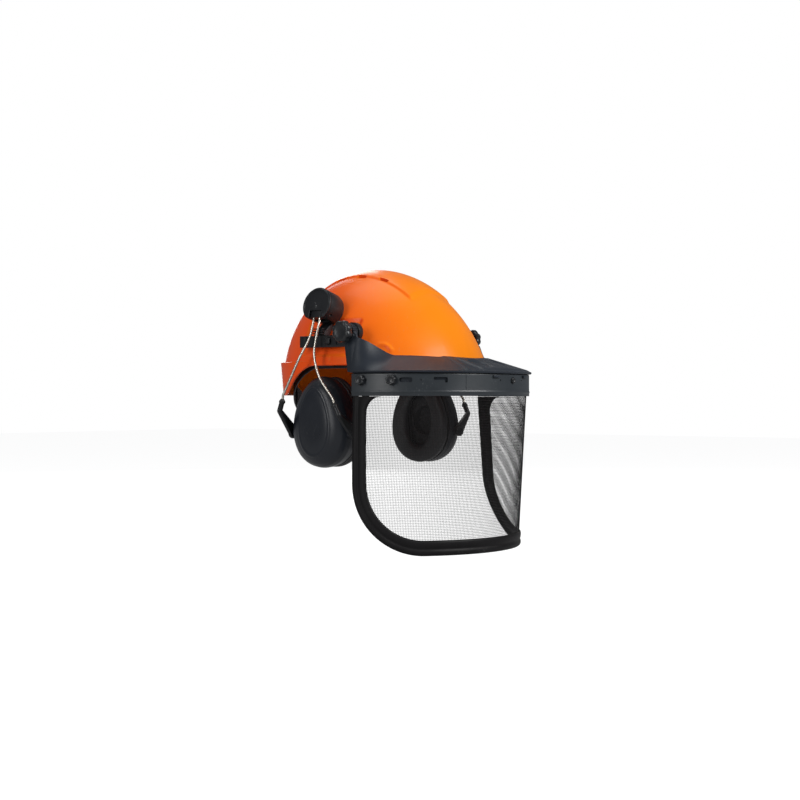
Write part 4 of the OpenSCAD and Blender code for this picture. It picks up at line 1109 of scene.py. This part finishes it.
def wire_tube(points, radius, sides=4):
    """A thin closed tube along a line of points."""
    points = np.asarray(points)
    along = np.gradient(points, axis=0)
    along /= np.linalg.norm(along, axis=1, keepdims=True)
    side = np.cross(along, [0.31, -0.47, 0.83])
    side /= np.linalg.norm(side, axis=1, keepdims=True)
    up = np.cross(along, side)
    turn = np.linspace(0, 2 * math.pi, sides, endpoint=False) + math.pi / sides
    rings = points[:, None] + radius * (np.cos(turn)[None, :, None] * side[:, None]
                                        + np.sin(turn)[None, :, None] * up[:, None])
    return loft(rings)


MESH_INSET = TRIM_GRIP + 0.6


def side_limit(z):
    """Half width of the mesh at a height, inside the trim and round its lower corners."""
    turn_start = CORNER - SCREEN_DROP
    if z >= turn_start:
        return half_arc(z) - MESH_INSET
    radius = CORNER - MESH_INSET
    drop = turn_start - z
    return half_arc(z) - CORNER + math.sqrt(max(0.0, radius * radius - drop * drop))


mesh_top, mesh_bottom = RAIL_BOTTOM + 9.0, MESH_INSET - SCREEN_DROP + 0.2
heights = [mesh_top - MESH_PITCH * (k + 0.5) for k in range(int((mesh_top - mesh_bottom) / MESH_PITCH))]
columns = int(2 * half_arc(0.0) / MESH_PITCH / 2)
crossings = [(row, k) for row in range(len(heights)) for k in range(-columns, columns + 1)
             if abs(k * MESH_PITCH) < side_limit(heights[row])]
mesh_points, mesh_faces = [], []


def weave_wire(spots, over):
    """One wire through its crossings, over and under the wires that it meets."""
    if len(spots) <= 3:
        return
    line = [screen_point(np.float64(k * MESH_PITCH), heights[row],
                         MESH_WIRE * (over if (k + row) % 2 else -over)) for row, k in spots]
    points, faces = wire_tube(line, MESH_WIRE)
    mesh_faces.extend([[v + len(mesh_points) for v in face] for face in faces])
    mesh_points.extend(points)


for row in range(len(heights)):
    weave_wire([spot for spot in crossings if spot[0] == row], 1)
for column in range(-columns, columns + 1):
    weave_wire([spot for spot in crossings if spot[1] == column], -1)
mesh_wires = build("screen_mesh_wires", mesh_points, mesh_faces, crease=80)
mesh_black = moulded_plastic("mesh_coating", (0.010, 0.0095, 0.010), 0.55, dust=0.05, specular=0.25)
fit(mesh_wires, "screen", "mesh_black", mesh_black, "screen_mesh")

# --------------------------------------------------------------- edge trim
# The trim: one length of black rubber extrusion with a round outer bead, a groove and a flat
# inner lip, pushed over the mesh's edge and widened into a web under the rail's ends.
SIDE_STATIONS, CORNER_STATIONS, FOOT_STATIONS = 40, 44, 60
TRIM_WIDTH, TRIM_PATTERN_WIDTH = 15.5, 12.5
LIP_START, FLARE_RADIUS = 6.2, 17.0
trim_back = [
    (0.15, 0.8), (0.5, 1.5), (1.1, 2.1), (2.0, 2.45), (3.0, 2.5), (4.0, 2.35), (4.8, 1.9), (5.4, 1.55),
    (6.2, 1.6), (7.0, 1.95), (8.5, 2.15), (10.5, 2.1), (11.6, 1.8), (12.3, 1.3), (12.5, 0.75), (12.4, 0.42),
]
trim_pattern = [
    (0.5, -1.5), (0.15, -0.8), (0, 0), *trim_back, (4.6, 0.4), (4.6, -0.4),
    *((inward, -off) for inward, off in trim_back[:1:-1]),
]
trim_section = [(inward * TRIM_WIDTH / TRIM_PATTERN_WIDTH, off) for inward, off in trim_pattern]


def trim_place(k, inward, top):
    """Inset and height of one point of the trim, widened to a web under the rail's end."""
    if k <= SIDE_STATIONS:
        z = lerp(top, CORNER - SCREEN_DROP, (k / SIDE_STATIONS) ** 1.3)
        below = top - z
        if inward > LIP_START and below < FLARE_RADIUS:
            widened = FLARE_RADIUS - math.sqrt(FLARE_RADIUS ** 2 - (FLARE_RADIUS - below) ** 2)
            inward = inward + widened * (inward - LIP_START) / (TRIM_WIDTH - LIP_START)
        return inward, z
    turn = math.radians(90 * (k - SIDE_STATIONS) / CORNER_STATIONS)
    reach = CORNER - inward
    return CORNER - reach * math.cos(turn), CORNER - SCREEN_DROP - reach * math.sin(turn)


def trim_side_ring(side, k):
    ring = []
    for inward, off in trim_section:
        inset, z = trim_place(k, inward, RAIL_BOTTOM - 0.3)
        ring.append(screen_point(side * (half_arc(z) - inset), np.float64(z), off))
    return ring


def trim_foot_ring(i):
    ring = []
    for inward, off in trim_section:
        z = inward - SCREEN_DROP
        half = half_arc(z) - CORNER
        ring.append(screen_point(half * (2 * i / FOOT_STATIONS - 1), np.float64(z), off))
    return ring


stations = range(SIDE_STATIONS + CORNER_STATIONS)
trim = build("edge_trim_rubber", *loft(
    [trim_side_ring(-1, k) for k in stations] + [trim_foot_ring(i) for i in range(FOOT_STATIONS + 1)]
    + [trim_side_ring(1, k) for k in reversed(stations)]), crease=40)
trim_rubber = moulded_plastic("trim_rubber", (0.0065, 0.006, 0.0065), 0.5, grain=0.3, grain_scale=1500,
                              scuffs=0.25, dust=0.12, shade_range=0.3, specular=0.12)
fit(trim, "screen", "trim_rubber", trim_rubber, "edge_trim")

# ------------------------------------------------------------- hinge knobs
# The clamping knobs: lobed black nylon hand knobs on the hinge bolts, which squeeze the
# guard's ears against the adapters so that the screen stays where it is put.
KNOB_FOOT = 110.4


def make_knob(hand, sign):
    matrix = placed((sign * KNOB_FOOT, -HINGE_AHEAD, HINGE_Z), (0, sign * 90, 0))
    neck = prism("neck", round_outline(6.4, np.linspace(0, 2 * math.pi, 40, False)), 0, 4.4, matrix)
    on_neck = matrix @ Matrix.Translation((0, 0, 3.4)) @ Matrix.Rotation(0.39, 4, "Z")
    head = star_knob("head", 8, 11.5, 8.6, on_neck, dish=0.35, flute=0.88)
    fit(join(hand + "_hinge_knob_moulding", [neck, head], 40), hand + "_knob", "black_plastic", knob_black,
        hand + "_hinge_knob")


both_sides(make_knob)

# ---------------------------------------------------------- bracket, drum
# The ear muff's drum: a black nylon case with a flat foot that turns on a steel spindle in
# the bracket. Inside, a sprung rocker grips the two wires, which come out of its foot.

DRUM_FACE, DRUM_TILT = np.array([-107.0, 8.0, 99.0]), math.radians(15)
RIM_OUTSIDE, RIM_INSIDE, RIM_RISE, RIM_SUNK = 16.9, 15.0, 0.6, 0.3


def drum_rim(sign):
    """Raised rim round the cap's face, open over the drum's flat foot."""
    out = Vector((-math.cos(DRUM_TILT), 0, math.sin(DRUM_TILT)))
    down = Vector((-math.sin(DRUM_TILT), 0, -math.cos(DRUM_TILT)))
    section = ((RIM_OUTSIDE, -RIM_SUNK), (RIM_OUTSIDE, 0.15), (16.6, 0.5), (15.9, RIM_RISE), (15.3, 0.45),
               (RIM_INSIDE, -RIM_SUNK))
    rings = []
    for t in np.radians(np.linspace(42, 318, 90)):
        spoke = down * math.cos(t) + Vector((0, -1, 0)) * math.sin(t)
        ring = [Vector(DRUM_FACE) + spoke * radius + out * height for radius, height in section]
        rings.append([(-sign * x, y, z) for x, y, z in ring])
    return build("cap_rim", *loft(rings), crease=50)


def make_drum(hand, sign):
    bracket = moulded_from(hand + "_muff_bracket", 0.7, segments=3)
    ribs = [prism("rib", box_outline(1.1, 13.4, 0.4), 0, 4.5,
                  placed((sign * (102.3 - 0.5 * k), 8, 68.6 + 2.4 * k), (0, sign * 90, 0)), edge=0.4)
            for k in range(3)]
    fit(join(hand + "_muff_bracket_moulding", [bracket, *ribs]), "helmet", "black_plastic", adapter_black,
        hand + "_muff_bracket")
    drum = hand + "_drum"
    fit(moulded_from(hand + "_drum_case", 0.6), drum, "black_plastic", adapter_black, hand + "_drum_case")
    cap = join(hand + "_drum_cap_moulding", [moulded_from(hand + "_drum_cap", 0.9, segments=3), drum_rim(sign)])
    fit(cap, drum, "black_plastic", knob_black, hand + "_drum_cap")
    fit(moulded_from(hand + "_wire_rocker", 0.3), hand + "_rocker", "black_plastic", adapter_black,
        hand + "_wire_rocker")
    for node in ("_drum_spindle", "_drum_spring", "_rocker_pin"):
        refinish(hand + node, plated_steel)


both_sides(make_drum)

# ------------------------------------------------------------------- wires
# The sprung wires: two lengths of 2.5 mm stainless spring wire from the drum, bowed out past
# the shell's edge to the front and rear of the cup.
WIRE_RADIUS, WIRE_GAP, WIRE_IN = 1.25, 8.0, 4.6
REAR_SOCKET, FRONT_SOCKET = np.array([-118.0, 45.0, -1.0]), np.array([-118.0, -25.0, -5.0])


def wire_end(side):
    return np.array([0.6, 2.6, -9.0]) if side > 0 else np.array([0.4, -3.4, -9.0])


def wire_route(side):
    cos, sin = math.cos(DRUM_TILT), math.sin(DRUM_TILT)
    route = [DRUM_FACE + [WIRE_IN * cos - down * sin, side * WIRE_GAP / 2, -WIRE_IN * sin - down * cos]
             for down in (-13, 0, 14, 21)]
    if side > 0:
        route += [(-110.5, 15, 63), (-114.5, 25, 43), (-117, 35.5, 21)]
        socket = REAR_SOCKET
    else:
        route += [(-110.5, 5, 66), (-114, 5, 46), (-117, -4, 24)]
        socket = FRONT_SOCKET
    tail = [socket + share * wire_end(side) for share in (-0.8, -0.4, 0, 0.5, 1)]
    return [np.array(p, float) for p in route] + tail


def smooth_line(points, steps):
    """A smooth line through the points."""
    points = [2 * points[0] - points[1], *points, 2 * points[-1] - points[-2]]
    line = []
    last = len(points) - 3
    for t in np.linspace(0, last, steps):
        i = min(last - 1, int(t))
        s = t - i
        p0, p1, p2, p3 = points[i:i + 4]
        line.append(0.5 * (2 * p1 + (p2 - p0) * s + (2 * p0 - 5 * p1 + 4 * p2 - p3) * s ** 2
                           + (3 * p1 - p0 - 3 * p2 + p3) * s ** 3))
    return line


def mirrored(points, sign):
    return [np.array(p) * [-sign, 1, 1] for p in points]


spring_wire = drawn_steel("spring_wire", (0.66, 0.62, 0.55), 0.26, streak=(500, 500, 30))


def make_wires(hand, sign):
    wires = [build("wire", *wire_tube(mirrored(smooth_line(wire_route(side), 140), sign), WIRE_RADIUS, 16))
             for side in (1, -1)]
    fit(join(hand + "_spring_wires", wires, 60), hand + "_yoke", "spring_steel", spring_wire,
        hand + "_muff_wires")


both_sides(make_wires)

# -------------------------------------------------------------------- arms
# The arms: a black nylon elbow moulded round each wire's end, with a round eye and a pin
# that clips into the boss on the cup's flank.
CUP_HEIGHT, CUP_WIDTH, CUP_DEPTH, CUP_WALL = 95.0, 74.0, 28.0, 2.2
CUP_CENTRE_Z, CUP_RIM, MUFF_BEHIND = -23.0, 84.0, 8.0
PIN_OUT, PIN_Z = 96.0, -34.0


def ball_points(centre, radius):
    points = []
    for lift in np.radians(np.linspace(-75, 75, 7)):
        for t in np.linspace(0, 2 * math.pi, 14, endpoint=False):
            points.append(np.array(centre) + radius * np.array(
                [math.cos(lift) * math.cos(t), math.cos(lift) * math.sin(t), math.sin(lift)]))
    return points


def make_arms(hand, sign):
    def form(name, points):
        return hull_of(name, [p * (-sign, 1, 1) for p in points])

    for label, socket, side in (("front", FRONT_SOCKET, -1), ("rear", REAR_SOCKET, 1)):
        pivot = np.array([-PIN_OUT, MUFF_BEHIND + side * (CUP_WIDTH / 2 + 3.4), PIN_Z])
        elbow = socket + 1.15 * wire_end(side) + [0, side * 1.2, 0]
        flank = (0, 1, 0)
        arm = cast_together("arm", [
            form("sleeve", ball_points(socket, 2.8) + ball_points(elbow, 2.9)),
            form("collar", disc_points(socket + 0.1 * wire_end(side), wire_end(side), 3.3, 2.2)),
            form("shank", ball_points(elbow, 2.9) + disc_points(pivot, flank, 6, 4)),
            form("rim", disc_points(pivot + [0, side * 0.5, 0], flank, 6.6, 3.4)),
            form("pin", disc_points(pivot - [0, side * 2.5, 0], flank, 2.5, 9)),
        ], 0.4, smooth=5)
        cut(arm, [form("screw", disc_points(pivot + [0, side * 3, 0], flank, 2.3, 3.2))], 50)
        arm.name = f"{hand}_{label}_arm_moulding"
        fit(arm, hand + "_yoke", "black_plastic", adapter_black, f"{hand}_{label}_arm")


both_sides(make_arms)

# ---------------------------------------------------------------- ear cups
# The ear cups: satin dark grey mouldings with a domed flank, a chamfered flat face and a
# small boss on each side for the arm's pin, open towards the ear.


def cup_outline(out, share_y, share_z, inward, points=120):
    t = np.linspace(0, 2 * math.pi, points, endpoint=False)
    across = (CUP_WIDTH / 2 * share_y - inward) * np.cos(t) * (1 - 0.17 * np.sin(t))
    up = (CUP_HEIGHT / 2 * share_z - inward) * np.sin(t)
    return np.stack([np.full(points, -out), MUFF_BEHIND + across, CUP_CENTRE_Z + up], 1)


CUP_SHARES = np.array([
    [0, 0.97, 0.97], [0.15, 0.99, 0.99], [0.4, 1, 1], [0.6, 0.97, 0.975], [0.78, 0.86, 0.91],
    [0.92, 0.68, 0.82], [1, 0.52, 0.74],
])
CUP_TOP_SHARE_Y, CUP_TOP_SHARE_Z = CUP_SHARES[-1, 1:]
cup_satin = moulded_plastic("cup_satin", (0.011, 0.0135, 0.019), 0.3, grain=0.1, grain_scale=900, scuffs=0.4,
                            dust=0.04, specular=0.4)


def soft_share(depth, column, window=0.035):
    """The cup's width or height at a depth, with the sections' corners rounded off."""
    near = [np.interp(min(1, max(0, depth + d)), CUP_SHARES[:, 0], CUP_SHARES[:, column])
            for d in np.linspace(-window, window, 5)]
    return sum(float(share) for share in near) / 5


def make_cup(hand, sign):
    floor_out = CUP_RIM + CUP_DEPTH - CUP_WALL
    rings = [cup_outline(floor_out, 0.03, 0.04, 0)]
    for depth in np.linspace(1, 0, 30):
        rings.append(cup_outline(CUP_RIM + depth * (CUP_DEPTH - CUP_WALL),
                                 soft_share(depth, 1), soft_share(depth, 2), CUP_WALL))
    for depth in np.linspace(0, 1, 64):
        seam = 0.35 * math.exp(-((depth - 0.12) / 0.012) ** 2)
        rings.append(cup_outline(CUP_RIM + depth * CUP_DEPTH, soft_share(depth, 1), soft_share(depth, 2), seam))
    for share, fall in ((0.985, 0.35), (0.95, 0.6), (0.9, 0.45), (0.88, 0.1), (0.5, 0.0), (0.05, 0.0)):
        rings.append(cup_outline(CUP_RIM + CUP_DEPTH + 0.35 - fall * 0.5,
                                 CUP_TOP_SHARE_Y * share, CUP_TOP_SHARE_Z * share, 0))
    cup = build("cup_skin", *loft([mirrored(ring, sign) for ring in rings]), crease=40)
    bosses = []
    for side in (-1, 1):
        centre = np.array([sign * PIN_OUT, MUFF_BEHIND + side * (CUP_WIDTH / 2 - 3.4), PIN_Z])
        bosses.append(hull_of("boss", disc_points(centre, (0, 1, 0), 5, 7.4, 48)
                              + disc_points(centre - [0, side * 0.4, 0], (0, 1, 0), 5.4, 5.4, 48)))
    whole = join(hand + "_ear_cup_moulding", [cup, *bosses], 38)
    fit(whole, hand + "_muff", "cup_grey", cup_satin, hand + "_ear_cup")


both_sides(make_cup)

# --------------------------------------------------- foam, plate, cushion
# Behind each cup: a block of open-cell foam with a hole in it, a plastic plate that closes
# the cup, and a ring cushion of foam in a soft skin welded round its edges.


def foam(name, colour):
    """Open-cell foam: pitted all over, dull and a little uneven in tone."""
    material, tree, shader = new_finish(name, Roughness=0.95)
    spot = add_node(tree, "ShaderNodeTexCoord").outputs["Object"]
    cells = add_node(tree, "ShaderNodeTexVoronoi", {"Vector": spot, "Scale": 900.0}).outputs["Distance"]
    tone = mixed(tree, noise(tree, spot, 50.0, 3.0), tint(colour, 0.7), tint(colour, 1.3))
    tree.links.new(mixed(tree, cells, tone, tint(colour, 0.35)), shader.inputs["Base Color"])
    relief_on(tree, shader, cells, 0.8, 0.0006)
    return material


open_foam = foam("open_foam", (0.085, 0.085, 0.09))
FOAM_DEPTH = CUP_DEPTH - CUP_WALL - 3


def make_lining(hand, sign):
    main = []
    for out in (1, 0.55, 0.15):
        outline = cup_outline(CUP_RIM + out * FOAM_DEPTH, lerp(0.86, 0.5, out), lerp(0.86, 0.66, out), 3, 160)
        main.append(np.array(mirrored(outline, sign)))
    rings = [a + (b - a) * s for a, b in zip(main, main[1:]) for s in np.linspace(0, 1, 10, endpoint=False)]
    block = build(hand + "_cup_foam_block", *loft([*rings, main[-1]]), crease=50)
    hole = disc_points((sign * (CUP_RIM + 2), MUFF_BEHIND, CUP_CENTRE_Z), (1, 0, 0), 17, 24, 72)
    cut(block, [hull_of("hole", hole)])
    fit(block, hand + "_muff", "foam", open_foam, hand + "_cup_foam")
    fit(moulded_from(hand + "_cup_plate", 0.3, crease=40), hand + "_muff", "black_plastic", harness_black,
        hand + "_cup_plate")


both_sides(make_lining)

CUSHION_DEPTH = 11.0
CUSHION_BACK = CUP_RIM - 2.4
CUSHION_COLUMNS = 140
EAR_HOLE = 29


def soft_skin(name, colour):
    """Soft vinyl skin: fine leather grain, gentle creases and a low sheen."""
    material, tree, shader = new_finish(name)
    spot = add_node(tree, "ShaderNodeTexCoord").outputs["Object"]
    cells = add_node(tree, "ShaderNodeTexVoronoi", {"Vector": spot, "Scale": 620.0}, feature="DISTANCE_TO_EDGE")
    creases = noise(tree, spot, 90.0, 5.0)
    tree.links.new(mixed(tree, creases, tint(colour, 0.7), tint(colour, 1.4)), shader.inputs["Base Color"])
    tree.links.new(ranged(tree, creases, 0.3, 0.7, 0.38, 0.55), shader.inputs["Roughness"])
    relief_on(tree, shader, maths(tree, "MULTIPLY_ADD", creases, 1.4, cells.outputs[0]), 0.35, 0.0004)
    return material


cushion_skin = soft_skin("cushion_skin", (0.021, 0.021, 0.023))


def make_cushion(hand, sign):
    t = np.linspace(0, 2 * math.pi, CUSHION_COLUMNS, endpoint=False)
    outer = cup_outline(0, 1, 1, 0.4, CUSHION_COLUMNS)[:, 1:]
    hole = np.stack([MUFF_BEHIND + 0.6 * EAR_HOLE * np.cos(t), CUP_CENTRE_Z + EAR_HOLE * np.sin(t)], 1)
    rings = []
    for turn in np.radians(np.linspace(0, 360, 40, endpoint=False)):
        across, rise = math.cos(turn), math.sin(turn)
        share = 0.5 + 0.5 * math.copysign(abs(across) ** 0.62, across)
        height = 0.5 + 0.5 * math.copysign(abs(rise) ** 0.7, rise)
        pinch = 0.06 * math.exp(-((height - 0.18) / 0.07) ** 2)
        flat = hole + (outer - hole) * lerp(pinch, 1 - pinch, share)
        wrinkle = 0.25 * np.sin(t * 19) * np.sin(t * 7 + 1) * (share < 0.3) * height
        out = CUSHION_BACK - height * (CUSHION_DEPTH + 0.2) + wrinkle
        rings.append(mirrored(np.stack([-out, flat[:, 0], flat[:, 1]], 1), sign))
    faces = ring_faces(len(rings), CUSHION_COLUMNS)
    last = (len(rings) - 1) * CUSHION_COLUMNS
    faces += [[last + k, k, (k + 1) % CUSHION_COLUMNS, last + (k + 1) % CUSHION_COLUMNS]
              for k in range(CUSHION_COLUMNS)]
    ring = build(hand + "_ear_cushion_ring", np.array(rings).reshape(-1, 3), faces, crease=70)
    fit(ring, hand + "_muff", "cushion_skin", cushion_skin, hand + "_ear_cushion")


both_sides(make_cushion)
